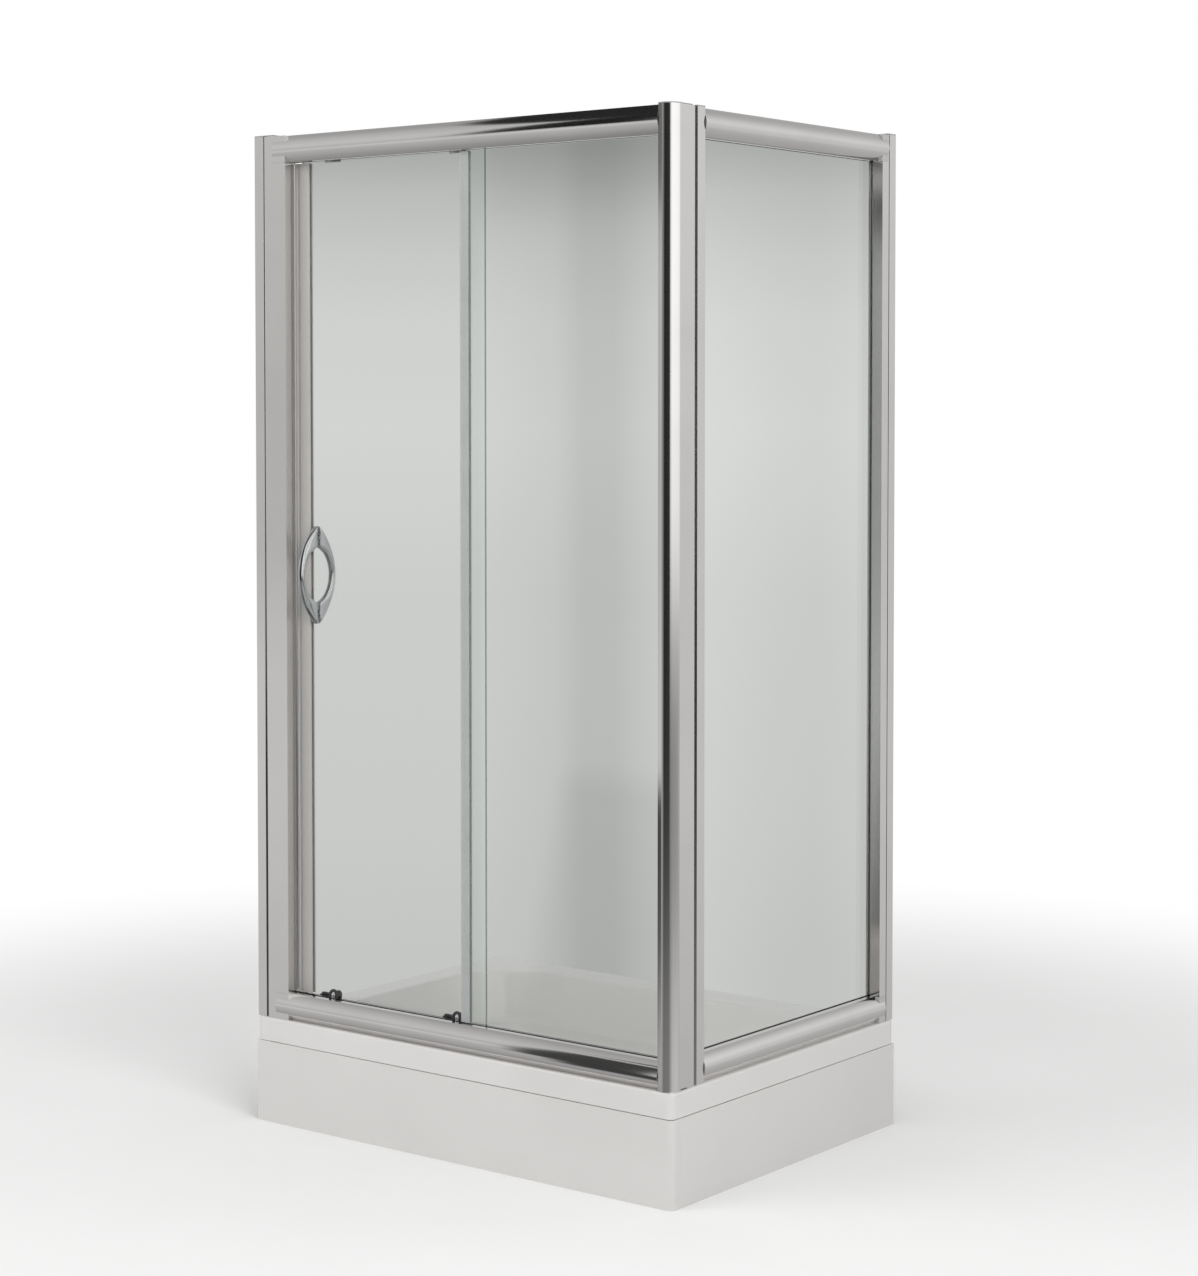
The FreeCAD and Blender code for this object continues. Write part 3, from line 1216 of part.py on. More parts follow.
def make_fixed_panes():
    """The two fixed panes with their glazing gaskets."""
    pane_height = f"{GLASS_HIGH} - {GLASS_LOW}"
    front_end = f"({POST_POCKET_X} - glass_end_gap)"
    front = extrusion("front_fixed_glass", "XZ", [oblong(
        ("0", f"{front_end} - {FIXED_GLASS_X}"), ("0", pane_height))], "glass_thickness")
    move(front, FIXED_GLASS_X, f"{FIXED_GLASS_Y} - glass_thickness / 2", GLASS_LOW)
    part("front_fixed_glass", front)

    side_start = f"({STILE_POCKET_Y} + glass_end_gap)"
    side_end = f"({REAR_POCKET_Y} - glass_end_gap)"
    side = extrusion("side_glass", "YZ", [oblong(
        ("0", f"{side_end} - {side_start}"), ("0", pane_height))], "glass_thickness")
    move(side, f"{SIDE_GLASS_X} - glass_thickness / 2", side_start, GLASS_LOW)
    part("side_glass", side)

    upright_low = f"({LOW_RAIL_TOP} + glass_end_gap)"
    upright_length = f"{HIGH_RAIL_BASE} - {LOW_RAIL_TOP} - 2 * glass_end_gap"
    pocket_low = f"({LOW_RAIL_TOP} - pocket_depth)"
    pocket_high = f"({HIGH_RAIL_BASE} + pocket_depth)"
    upright = turn_about((ALONG_Y, -90))
    front_run = f"{POST_X} - {FIXED_GLASS_X}"
    front_gaskets = [
        gasket("front_low_gasket", front_run, (FIXED_GLASS_X, FIXED_GLASS_Y, pocket_low), turn_about()),
        gasket("front_high_gasket", front_run, (FIXED_GLASS_X, FIXED_GLASS_Y, pocket_high),
               turn_about((ALONG_X, 180))),
        gasket("front_post_gasket", upright_length, (POST_POCKET_X, FIXED_GLASS_Y, upright_low), upright),
    ]
    part("front_glass_gaskets", group("front_glass_gaskets", front_gaskets))

    side_run = f"{REAR_REVEAL_Y} - {SIDE_RAIL_START_Y}"
    quarter = turn_about((ALONG_Z, 90))
    side_gaskets = [
        gasket("side_low_gasket", side_run, (SIDE_GLASS_X, SIDE_RAIL_START_Y, pocket_low), quarter),
        gasket("side_high_gasket", side_run, (SIDE_GLASS_X, SIDE_RAIL_START_Y, pocket_high),
               turn_about((ALONG_X, 180), (ALONG_Z, 90))),
        gasket("side_stile_gasket", upright_length, (SIDE_GLASS_X, STILE_POCKET_Y, upright_low),
               turn_about((ALONG_Y, -90), (ALONG_Z, -90))),
        gasket("side_rear_gasket", upright_length, (SIDE_GLASS_X, REAR_POCKET_Y, upright_low),
               turn_about((ALONG_Y, -90), (ALONG_Z, 90))),
    ]
    part("side_glass_gaskets", group("side_glass_gaskets", side_gaskets))


def make_edge_seal():
    """The soft seal on the fixed pane's free edge, with a lip towards the door."""
    half = "(glass_thickness / 2 + gasket_clearance)"
    outer = f"({half} + seal_skin)"
    lip = "(pane_gap + glass_thickness / 2 - seal_lip_gap)"
    section = [
        ("-seal_front", f"-{outer}"),
        ("seal_cover", f"-{outer}"),
        ("seal_cover", f"-{half}"),
        ("-gasket_clearance", f"-{half}"),
        ("-gasket_clearance", half),
        ("seal_cover", half),
        ("seal_cover", outer),
        ("-seal_front", outer),
    ]
    length = f"{HIGH_RAIL_BASE} - {LOW_RAIL_TOP} - 2 * door_edge_rail_gap"
    start = f"({LOW_RAIL_TOP} + door_edge_rail_gap)"
    channel = extrusion("edge_seal_channel", "XY", [section], length)
    move(channel, FIXED_GLASS_X, FIXED_GLASS_Y, start)
    lip_section = [
        ("-seal_front", f"{outer} - seal_skin / 2"),
        ("-seal_front + 2 * seal_skin", f"{outer} - seal_skin / 2"),
        ("-seal_front + 1.5 * seal_skin", lip),
        ("-seal_front + 0.5 * seal_skin", lip),
    ]
    lip_body = extrusion("edge_seal_lip", "XY", [lip_section], f"{length} - 2 * seal_lip_end_gap")
    move(lip_body, FIXED_GLASS_X, FIXED_GLASS_Y, f"{start} + seal_lip_end_gap")
    part("fixed_glass_seal", fuse("fixed_glass_seal", [channel, lip_body]))


# ---------------------------------------------------------------- the sliding door

HANDLE_X = f"({DOOR_EDGE_X} + handle_from_edge)"
STUD_OFFSET = "(handle_length / 2 - handle_foot / 2)"
CAP_Z = "(tray_height + roller_cap_height)"
HANGER_SCREW_Z = f"({HIGH_RAIL_BASE} + hanger_screw_height)"


def make_door_glass():
    """The sliding pane, drilled for its handles, hangers and bottom rollers."""
    holes = []
    for sign in ("+", "-"):
        holes.append((f"{HANDLE_X} - {DOOR_GLASS_X}", f"handle_height {sign} {STUD_OFFSET} - {DOOR_LOW}",
                      "stud_radius + stud_hole_clearance"))
    for station in ROLLERS.values():
        holes.append((f"{station} - {DOOR_GLASS_X}", f"{HANGER_SCREW_Z} - {DOOR_LOW}",
                      "hanger_screw_radius + hole_clearance"))
        holes.append((f"{station} - {DOOR_GLASS_X}", f"{CAP_Z} - {DOOR_LOW}",
                      "roller_stem_radius + hole_clearance"))
    pane = extrusion("door_glass", "XZ", [oblong(
        ("0", f"{DOOR_END_X} - {DOOR_GLASS_X}"), ("0", f"{DOOR_HIGH} - {DOOR_LOW}"))],
        "glass_thickness", holes)
    move(pane, DOOR_GLASS_X, DOOR_FRONT_Y, DOOR_LOW)
    part("door_glass", pane)


def make_door_edge():
    """The profile on the door's leading edge and its magnetic strip."""
    half = "(door_edge_thickness / 2)"
    slot = "(glass_thickness / 2 + door_edge_fit)"
    r = "door_edge_round"
    grip = "(door_edge_width - door_edge_grip)"
    length = f"{HIGH_RAIL_BASE} - {LOW_RAIL_TOP} - 2 * door_edge_rail_gap"
    start = f"({LOW_RAIL_TOP} + door_edge_rail_gap)"
    section = [
        (r, f"-{half}"),
        (f"door_edge_width - {r}", f"-{half}"),
        ("door_edge_width", f"-{half} + {r}", r, "left"),
        ("door_edge_width", f"-{slot}"),
        (f"{grip} - door_edge_fit", f"-{slot}"),
        (f"{grip} - door_edge_fit", slot),
        ("door_edge_width", slot),
        ("door_edge_width", f"{half} - {r}"),
        (f"door_edge_width - {r}", half, r, "left"),
        (r, half),
        ("0", f"{half} - {r}", r, "left"),
        ("0", f"-{half} + {r}"),
    ]
    section[0] = (r, f"-{half}", r, "left")
    profile = extrusion("door_edge_profile", "XY", [section], length)
    move(profile, DOOR_EDGE_X, DOOR_Y, start)
    part("door_edge_profile", profile)
    strip = extrusion("door_magnet_strip", "XY", [magnet_section("-")], length)
    move(strip, DOOR_EDGE_X, DOOR_Y, start)
    part("door_magnet_strip", strip)


def bow_handle(label, face, direction):
    """A bow handle: a crescent whose two long feet lie on the glass.

    The section lies across the glass, with local Y as the reach and local Z along the bow.
    """
    sign = "-" if direction < 0 else ""
    turn = "right" if direction < 0 else "left"
    back = "left" if direction < 0 else "right"
    half = "(handle_length / 2)"
    inner_half = "(handle_length / 2 - handle_foot)"
    inner_reach = "(handle_reach - handle_bar)"
    outer_arc = f"(({half} * {half} + handle_reach * handle_reach) / (2 * handle_reach))"
    inner_arc = f"(({inner_half} * {inner_half} + {inner_reach} * {inner_reach}) / (2 * {inner_reach}))"
    corners = [
        ("0", f"-{half}"),
        (f"{sign}handle_reach", "0", outer_arc, turn),
        ("0", half, outer_arc, turn),
        ("0", inner_half),
        (f"{sign}{inner_reach}", "0", inner_arc, back),
        ("0", f"-{inner_half}", inner_arc, back),
    ]
    bow = new_body(label)
    sketch = new_sketch(bow, "YZ", "-handle_bar / 2")
    draw(sketch, corners)
    pad(bow, sketch, "handle_bar")
    round_edges(bow, "handle_round", lambda edge: edge.Curve.TypeId == "Part::GeomCircle")
    move(bow, HANDLE_X, face, "handle_height")
    tools = []
    for number, side in enumerate(("-", "")):
        start = face if direction > 0 else f"({face} - stud_grip - fit_clearance)"
        tools.append(rod(f"{label}_tapping_{number}", "Y", "stud_radius + fit_clearance",
                         (HANDLE_X, start, f"handle_height + ({side}{STUD_OFFSET})"),
                         "stud_grip + fit_clearance"))
    return cut(label, bow, tools)


def make_handles():
    """Two bow handles back to back, with the washers and studs that clamp them to the glass."""
    outer_face = f"({DOOR_FRONT_Y} - washer_thickness)"
    inner_face = f"({DOOR_BACK_Y} + washer_thickness)"
    part("outer_handle", bow_handle("outer_bow", outer_face, -1))
    part("inner_handle", bow_handle("inner_bow", inner_face, 1))
    washers = []
    studs = []
    for number, side in enumerate(("-", "")):
        height = f"handle_height + ({side}{STUD_OFFSET})"
        for name, start in (("outer", outer_face), ("inner", DOOR_BACK_Y)):
            disc = rod(f"{name}_disc_{number}", "Y", "washer_radius", (HANDLE_X, start, height),
                       "washer_thickness")
            eye = rod(f"{name}_eye_{number}", "Y", "stud_radius + hole_clearance",
                      (HANDLE_X, f"{start} - 1", height), "washer_thickness + 2")
            washers.append(cut(f"{name}_washer_{number}", disc, [eye]))
        studs.append(rod(f"stud_{number}", "Y", "stud_radius", (HANDLE_X, f"{outer_face} - stud_grip", height),
                         f"{inner_face} - {outer_face} + 2 * stud_grip"))
    part("handle_washers", group("handle_washers", washers))
    part("handle_studs", group("handle_studs", studs))


# ---------------------------------------------------------------- rollers

def wheel(name, station, axle_height):
    """A wheel: a tyre with a crowned rim, and the bearing in its middle."""
    body = new_body(name + "_wheel_tyre")
    sketch = new_sketch(body, "YZ")
    half = "(wheel_width / 2)"
    hub = "(bearing_radius + fit_clearance)"
    shoulder = "(wheel_width / 5)"
    draw(sketch, [
        (f"-{half}", hub),
        (half, hub),
        (half, f"wheel_radius - {shoulder}"),
        (f"{half} - {shoulder}", "wheel_radius"),
        (f"-{half} + {shoulder}", "wheel_radius"),
        (f"-{half}", f"wheel_radius - {shoulder}"),
    ])
    turned = body.newObject("PartDesign::Revolution", name + "_tyre_turned")
    turned.Profile = sketch
    turned.ReferenceAxis = (sketch, ["H_Axis"])
    turned.Angle = 360
    move(body, station, WHEEL_Y, axle_height)
    part(name + "_wheel", body)
    start = f"{WHEEL_Y} - bearing_width / 2"
    ring = rod(name + "_bearing_ring", "Y", "bearing_radius", (station, start, axle_height), "bearing_width")
    eye = rod(name + "_bearing_eye", "Y", "axle_radius + fit_clearance",
              (station, f"{start} - 1", axle_height), "bearing_width + 2")
    part(name + "_bearing", cut(name + "_bearing", ring, [eye]))


PLATE_Y = (f"({DOOR_BACK_Y} + plate_glass_gap)", f"({DOOR_BACK_Y} + plate_glass_gap + plate_thickness)")


def axle(name, station, axle_height):
    """The axle of a wheel, standing out of its plate, with a shoulder before the wheel."""
    wheel_near = f"({WHEEL_Y} - wheel_width / 2)"
    length = f"{wheel_near} + wheel_width + axle_end - {PLATE_Y[0]}"
    pin = rod(name + "_axle", "Y", "axle_radius", (station, PLATE_Y[0], axle_height), length)
    shoulder = rod(name + "_shoulder", "Y", "axle_radius + 1", (station, PLATE_Y[0], axle_height),
                   f"{WHEEL_Y} - bearing_width / 2 - {PLATE_Y[0]} - wheel_running_gap")
    return [pin, shoulder]


def make_top_rollers():
    """The hangers in the top rail: a plate, an axle and a wheel each, and the screws through the glass."""
    screws = []
    for side, station in ROLLERS.items():
        name = f"top_{side}"
        half = "plate_width / 2"
        plate = box(name + "_plate", (f"{station} - {half}", f"{station} + {half}"), PLATE_Y,
                    (f"{HIGH_RAIL_BASE} - hanger_drop", f"{HIGH_RAIL_BASE} + hanger_rise"))
        solid = fuse(name + "_hanger_solid", [plate] + axle(name, station, TOP_AXLE_Z))
        drill = rod(name + "_screw_drill", "Y", "hanger_screw_radius + fit_clearance",
                    (station, f"{PLATE_Y[0]} - 1", HANGER_SCREW_Z), "plate_thickness + 2")
        part(name + "_hanger", cut(name + "_hanger", solid, [drill]))
        wheel(name, station, TOP_AXLE_Z)
        head = rod(name + "_screw_head", "Y", "hanger_head_radius",
                   (station, f"{DOOR_FRONT_Y} - hanger_head_thickness", HANGER_SCREW_Z), "hanger_head_thickness")
        shank = rod(name + "_screw_shank", "Y", "hanger_screw_radius", (station, DOOR_FRONT_Y, HANGER_SCREW_Z),
                    f"{PLATE_Y[1]} - {DOOR_FRONT_Y}")
        nut = rod(name + "_screw_nut", "Y", "hanger_head_radius", (station, PLATE_Y[1], HANGER_SCREW_Z),
                  "hanger_head_thickness")
        screws.append(fuse(name + "_screw", [head, shank, nut]))
    part("hanger_screws", group("hanger_screws", screws))


def button_well(name, left, low, high):
    """The well that a release button slides in, and the button itself, between two heights."""
    gap = "button_clearance"
    middle_x = f"({left} + housing_width / 2)"
    middle_y = f"({PLATE_Y[0]} + housing_depth / 2)"
    button_low = f"({high} + button_travel - button_length)"
    well = box(name + "_well",
               (f"{middle_x} - button_width / 2 - {gap}", f"{middle_x} + button_width / 2 + {gap}"),
               (f"{middle_y} - button_depth / 2 - {gap}", f"{middle_y} + button_depth / 2 + {gap}"),
               (f"{button_low} - button_travel - {gap}", f"{high} + 1"))
    button = box(name + "_button",
                 (f"{middle_x} - button_width / 2", f"{middle_x} + button_width / 2"),
                 (f"{middle_y} - button_depth / 2", f"{middle_y} + button_depth / 2"),
                 (button_low, f"{high} + button_travel"))
    housing = box(name + "_housing", (left, f"{left} + housing_width"),
                  (PLATE_Y[0], f"{PLATE_Y[0]} + housing_depth"), (low, high))
    return housing, well, button


def make_bottom_rollers():
    """The bottom rollers: a body inside the glass with a button, a round cap outside the glass
    and a wheel in the bottom rail's channel."""
    caps = []
    for side, station in ROLLERS.items():
        name = f"bottom_{side}"
        left = f"({station} - roller_body_left)"
        top = "(tray_height + roller_body_top)"
        plate = box(name + "_plate", (left, f"{station} + roller_body_right"), PLATE_Y,
                    ("tray_height + roller_body_base", top))
        housing, well, button = button_well(name, left, f"({top} - housing_height)", top)
        boss = rod(name + "_boss", "Y", "roller_boss_radius", (station, PLATE_Y[0], CAP_Z), "housing_depth")
        thread = rod(name + "_stem_thread", "Y", "roller_stem_radius + fit_clearance",
                     (station, f"{PLATE_Y[0]} - 1", CAP_Z), "housing_depth + 2")
        solid = fuse(name + "_solid", [plate, housing, boss] + axle(name, station, LOW_AXLE_Z))
        part(name + "_roller", cut(name + "_roller", solid, [well, thread]))
        part(f"release_button_{side}", button)
        wheel(name, station, LOW_AXLE_Z)
        cap = rod(name + "_cap_disc", "Y", "roller_cap_radius",
                  (station, f"{DOOR_FRONT_Y} - roller_cap_thickness", CAP_Z), "roller_cap_thickness")
        stem = rod(name + "_cap_stem", "Y", "roller_stem_radius", (station, DOOR_FRONT_Y, CAP_Z),
                   "glass_thickness + plate_glass_gap + housing_depth")
        caps.append(fuse(name + "_cap", [cap, stem]))
    part("roller_caps", group("roller_caps", caps))


def make_stops():
    """Rubber stops on the running ledge, which end the door's travel at both ends."""
    ledge = f"({HIGH_RAIL_BASE} + ledge_height + ledge_thickness)"
    depth = (f"{WHEEL_Y} - stop_depth / 2", f"{WHEEL_Y} + stop_depth / 2")
    height = (ledge, f"{ledge} + stop_height")
    closed = f"({ROLLERS['left']} - wheel_radius - stop_gap)"
    opened = f"({ROLLERS['right']} + door_travel + wheel_radius + stop_gap)"
    stops = [
        box("closed_stop", (f"{closed} - stop_length", closed), depth, height),
        box("open_stop", (opened, f"{opened} + stop_length"), depth, height),
    ]
    part("door_stops", group("door_stops", stops))


# ---------------------------------------------------------------- build, check and write

def check(things):
    """Stop if any object failed or any sub-part has no sound shape."""
    for thing in document.Objects:
        if "Invalid" in thing.State or "Error" in thing.State:
            raise RuntimeError(f"{thing.Label} failed: {thing.State}")
    for thing in things:
        shape = thing.Shape
        if shape.isNull() or not shape.isValid() or not shape.Solids:
            raise RuntimeError(f"{thing.Label} has no sound shape")


def main():
    """Build every sub-part, check it and write it."""
    make_tray()
    make_aprons()
    make_support()
    make_apron_brackets()
    make_waste()
    screws = make_left_uprights()
    post_screws, post_drills = make_corner_post()
    screws += post_screws
    screws += make_side_uprights(post_drills)
    part("joining_screws", group("joining_screws", screws))
    make_wall_caps()
    make_rails()
    make_fixed_panes()
    make_edge_seal()
    make_door_glass()
    make_door_edge()
    make_handles()
    make_top_rollers()
    make_bottom_rollers()
    make_stops()
    document.recompute()
    check(PARTS)
    os.makedirs("parts", exist_ok=True)
    for thing in PARTS:
        thing.Shape.exportStep(f"parts/{thing.Label}.step")
        print(f"{thing.Label}: {len(thing.Shape.Solids)} solid(s), {thing.Shape.Volume / 1000:.1f} cm3")


main()
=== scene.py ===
import logging
from dataclasses import dataclass
from enum import Enum
from functools import cache
from math import acos, asin, copysign, cos, dist, pi, radians, sin, sqrt, tau

import bmesh
import bpy
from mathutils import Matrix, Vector


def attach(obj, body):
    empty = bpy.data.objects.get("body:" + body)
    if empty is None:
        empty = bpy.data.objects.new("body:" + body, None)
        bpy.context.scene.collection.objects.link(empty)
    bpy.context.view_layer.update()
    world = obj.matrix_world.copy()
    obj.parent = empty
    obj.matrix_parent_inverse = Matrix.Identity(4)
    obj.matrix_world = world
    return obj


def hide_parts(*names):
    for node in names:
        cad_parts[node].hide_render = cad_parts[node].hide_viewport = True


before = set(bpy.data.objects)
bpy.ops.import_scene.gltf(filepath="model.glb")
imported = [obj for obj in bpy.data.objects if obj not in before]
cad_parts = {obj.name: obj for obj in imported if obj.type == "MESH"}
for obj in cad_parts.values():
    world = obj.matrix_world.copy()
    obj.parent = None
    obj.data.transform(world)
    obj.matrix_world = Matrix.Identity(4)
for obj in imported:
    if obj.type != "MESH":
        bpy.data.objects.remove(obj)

log = logging.getLogger("shower_enclosure")
MM = 0.001
Pair = tuple[float, float]
Triple = tuple[float, float, float]
Colour = Triple
Stops = tuple[Pair, ...]
Material = bpy.types.Material
Node = bpy.types.Node
Piece = bpy.types.Object
Socket = bpy.types.NodeSocket
Inputs = dict[str | int, object]
Loops = list[list[Vector]]
Section = list[Pair]
Sections = list[tuple[float, Section]]


# -------------------- finishes

class Run(Enum):
    """The way a profile's drawing lines run, as scales along X, Y and Z."""

    ALONG_X = (0.02, 1.0, 1.0)
    ALONG_Y = (1.0, 0.02, 1.0)
    ALONG_Z = (1.0, 1.0, 0.02)
    EVEN = (1.0, 1.0, 1.0)


class Wiring:
    """A node tree, with short calls that add and link its nodes."""

    def __init__(self, tree: bpy.types.NodeTree) -> None:
        """Empties the tree that it fills."""
        self.tree = tree
        self.tree.nodes.clear()

    def feed(self, made: Node, sockets: Inputs) -> Node:
        """Sets or links a node's inputs.

        Args:
            made: the node.
            sockets: an output to link or a plain value, by the input's name or number.

        Returns:
            The same node.
        """
        for name, given in sockets.items():
            socket = made.inputs[name]
            if isinstance(given, Socket):
                self.tree.links.new(given, socket)
            else:
                socket.default_value = given
        return made

    def node(self, kind: str, sockets: Inputs | None = None, **settings: object) -> Node:
        """Adds a node.

        Args:
            kind: the node's type.
            sockets: what its inputs are fed.
            **settings: its properties.

        Returns:
            The new node.
        """
        made = self.tree.nodes.new(kind)
        for name, setting in settings.items():
            setattr(made, name, setting)
        return self.feed(made, sockets or {})


class Tree(Wiring):
    """A shader tree, with short calls for the nodes that the finishes and the studio share."""

    def __init__(self, owner: Material | bpy.types.World, output: str) -> None:
        """Empties the owner's tree and adds its output.

        Args:
            owner: what the tree belongs to.
            output: the output node's type.
        """
        owner.use_nodes = True
        super().__init__(owner.node_tree)
        self.output = self.node(output)

    def maths(self, operation: str, *numbers: object) -> Socket:
        """One step of arithmetic on outputs or plain numbers."""
        return self.node("ShaderNodeMath", dict(enumerate(numbers)), operation=operation).outputs[0]

    def parts(self, vector: Socket) -> bpy.types.NodeOutputs:
        """A vector's X, Y and Z outputs."""
        return self.node("ShaderNodeSeparateXYZ", {0: vector}).outputs

    def mid(self, factor: object, first: object, second: object) -> Socket:
        """A mix of two numbers: the first at factor 0, the second at 1."""
        return self.node("ShaderNodeMix", {0: factor, 2: first, 3: second}).outputs[0]

    def smooth_step(self, value: object, start: float, end: float) -> Socket:
        """A soft step, which leaves 0 at the start and reaches 1 at the end."""
        ends = {"Value": value, "From Min": start, "From Max": end}
        return self.node("ShaderNodeMapRange", ends, interpolation_type="SMOOTHSTEP").outputs["Result"]

    def curve(self, value: Socket, stops: Stops) -> Socket:
        """A broken line through the stops.

        Args:
            value: where on the line, from 0 to 1.
            stops: the line's corners.

        Returns:
            The line's height there.
        """
        top = max(height for _, height in stops)
        made = self.node("ShaderNodeFloatCurve", {"Value": value})
        points = made.mapping.curves[0].points
        for point, (place, height) in zip(points, (stops[0], stops[-1]), strict=True):
            point.location = (place, height / top)
        for place, height in stops[1:-1]:
            points.new(place, height / top)
        for point in points:
            point.handle_type = "VECTOR"
        made.mapping.update()
        return self.maths("MULTIPLY", made.outputs[0], top)

    def bearing(self, x: object, y: object) -> Socket:
        """A direction's bearing, 0 and 1 behind the enclosure, 0.25 at its right, 0.5 in front of it."""
        angle = self.maths("ARCTAN2", self.maths("MULTIPLY", x, -1), self.maths("MULTIPLY", y, -1))
        return self.maths("MULTIPLY_ADD", angle, 1 / tau, 0.5)

    def sight(self) -> tuple[Socket, Socket, Socket]:
        """Tells the rays apart.

        Returns:
            Whether a ray has come through glass, whether it is the camera's own, and whether it is a
            reflection.
        """
        ray = self.node("ShaderNodeLightPath").outputs
        glazed = self.maths("GREATER_THAN", ray["Transparent Depth"], 0.5)
        seen = self.maths("MAXIMUM", ray["Is Camera Ray"], ray["Is Transmission Ray"])
        return glazed, seen, ray["Is Glossy Ray"]

    def light(self, strength: object, colour: Colour = (1, 1, 1)) -> Socket:
        """A plain glow."""
        return self.node("ShaderNodeEmission", {"Color": (*colour, 1), "Strength": strength}).outputs[0]

    def clear(self, colour: object = (1, 1, 1, 1)) -> Socket:
        """A see-through shader that tints what is behind it."""
        return self.node("ShaderNodeBsdfTransparent", {"Color": colour}).outputs[0]

    def either(self, factor: object, first: object, second: object) -> Socket:
        """A mix of two shaders: the first at factor 0, the second at 1."""
        return self.node("ShaderNodeMixShader", {0: factor, 1: first, 2: second}).outputs[0]

    def finish(self, surface: Socket) -> None:
        """Links a shader to the output."""
        self.feed(self.output, {"Surface": surface})


class Grain(Tree):
    """A material's tree, with the patterns that the finishes share."""

    NOISE_MIDDLE = {"From Min": 0.3, "From Max": 0.7}

    def __init__(self, name: str) -> None:
        """Starts an empty material.

        Args:
            name: the material's name.
        """
        self.material = bpy.data.materials.new(name)
        super().__init__(self.material, "ShaderNodeOutputMaterial")
        self.place = self.node("ShaderNodeTexCoord").outputs["Object"]

    def noise(self, scale: float, detail: float = 3.0, run: Run = Run.EVEN) -> Socket:
        """A noise with so many waves in a metre, drawn out along its run."""
        mapped = self.node("ShaderNodeMapping", {"Vector": self.place, "Scale": run.value}).outputs[0]
        return self.node("ShaderNodeTexNoise",
                         {"Vector": mapped, "Scale": scale, "Detail": detail}).outputs["Fac"]

    def shift(self, value: Socket, low: float, high: float) -> Socket:
        """Moves a noise's middle range to the one from low to high."""
        ends = {"Value": value, **self.NOISE_MIDDLE, "To Min": low, "To Max": high}
        return self.node("ShaderNodeMapRange", ends).outputs["Result"]

    def blend(self, factor: object, first: object, second: object) -> Socket:
        """A mix of two colours: the first at factor 0, the second at 1."""
        return self.node("ShaderNodeMix", {0: factor, 6: first, 7: second}, data_type="RGBA").outputs[2]

    def tone(self, value: Socket, colour: Colour, spread: float) -> Socket:
        """A colour that a noise makes darker and lighter by up to a share of itself."""
        dark, light = ((*[min(1.0, part * share) for part in colour], 1)
                       for share in (1 - spread, 1 + spread))
        return self.blend(self.shift(value, 0, 1), dark, light)

    def bump(self, height: Socket, strength: float, distance: float, under: Socket | None = None) -> Socket:
        """A bump.

        Args:
            height: the height map.
            strength: its strength.
            distance: its depth in metres.
            under: another bump to add it to.

        Returns:
            The new normal.
        """
        made = self.node("ShaderNodeBump", {"Height": height, "Strength": strength, "Distance": distance})
        if under is not None:
            self.feed(made, {"Normal": under})
        return made.outputs["Normal"]

    def body(self, sockets: Inputs) -> Socket:
        """A principled shader."""
        return self.node("ShaderNodeBsdfPrincipled", sockets).outputs["BSDF"]

    def done(self, surface: Socket) -> Material:
        """Ends the tree in its shader and gives the material."""
        self.finish(surface)
        return self.material


@dataclass(frozen=True)
class Metal:
    """Drawn, polished or brushed metal: fine lines along its run, soft cloudy wear."""

    name: str
    colour: Colour
    roughness: float
    run: Run = Run.EVEN
    line_scale: float = 900.0
    line_strength: float = 0.05
    wear: float = 0.03
    wear_scale: float = 45.0
    cloud_scale: float = 7.0
    cloud_spread: float = 0.025
    line_depth: float = 0.0002

    def build(self) -> Material:
        """Builds the material.

        Returns:
            The material.
        """
        grain = Grain(self.name)
        wear = grain.noise(self.wear_scale, 3, self.run)
        lines = grain.noise(self.line_scale, 2, self.run)
        return grain.done(grain.body({
            "Base Color": grain.tone(grain.noise(self.cloud_scale, 4), self.colour, self.cloud_spread),
            "Metallic": 1.0,
            "Roughness": grain.shift(wear, self.roughness - self.wear, self.roughness + self.wear),
            "Normal": grain.bump(lines, self.line_strength, self.line_depth),
        }))


@dataclass(frozen=True)
class Galvanised:
    """Zinc-coated tube: flat crystals, each with a grey and a sheen of its own."""

    name: str
    colour: Colour
    crystal_scale: float = 90.0
    crystal_spread: float = 0.12
    roughness: Pair = (0.32, 0.5)
    skin_scale: float = 600.0
    skin_strength: float = 0.08
    skin_depth: float = 0.0002

    def build(self) -> Material:
        """Builds the material.

        Returns:
            The material.
        """
        grain = Grain(self.name)
        crystals = grain.node("ShaderNodeTexVoronoi", {"Vector": grain.place, "Scale": self.crystal_scale})
        value = crystals.outputs["Color"]
        return grain.done(grain.body({
            "Base Color": grain.tone(value, self.colour, self.crystal_spread),
            "Metallic": 1.0,
            "Roughness": grain.shift(value, *self.roughness),
            "Normal": grain.bump(grain.noise(self.skin_scale, 2), self.skin_strength, self.skin_depth),
        }))


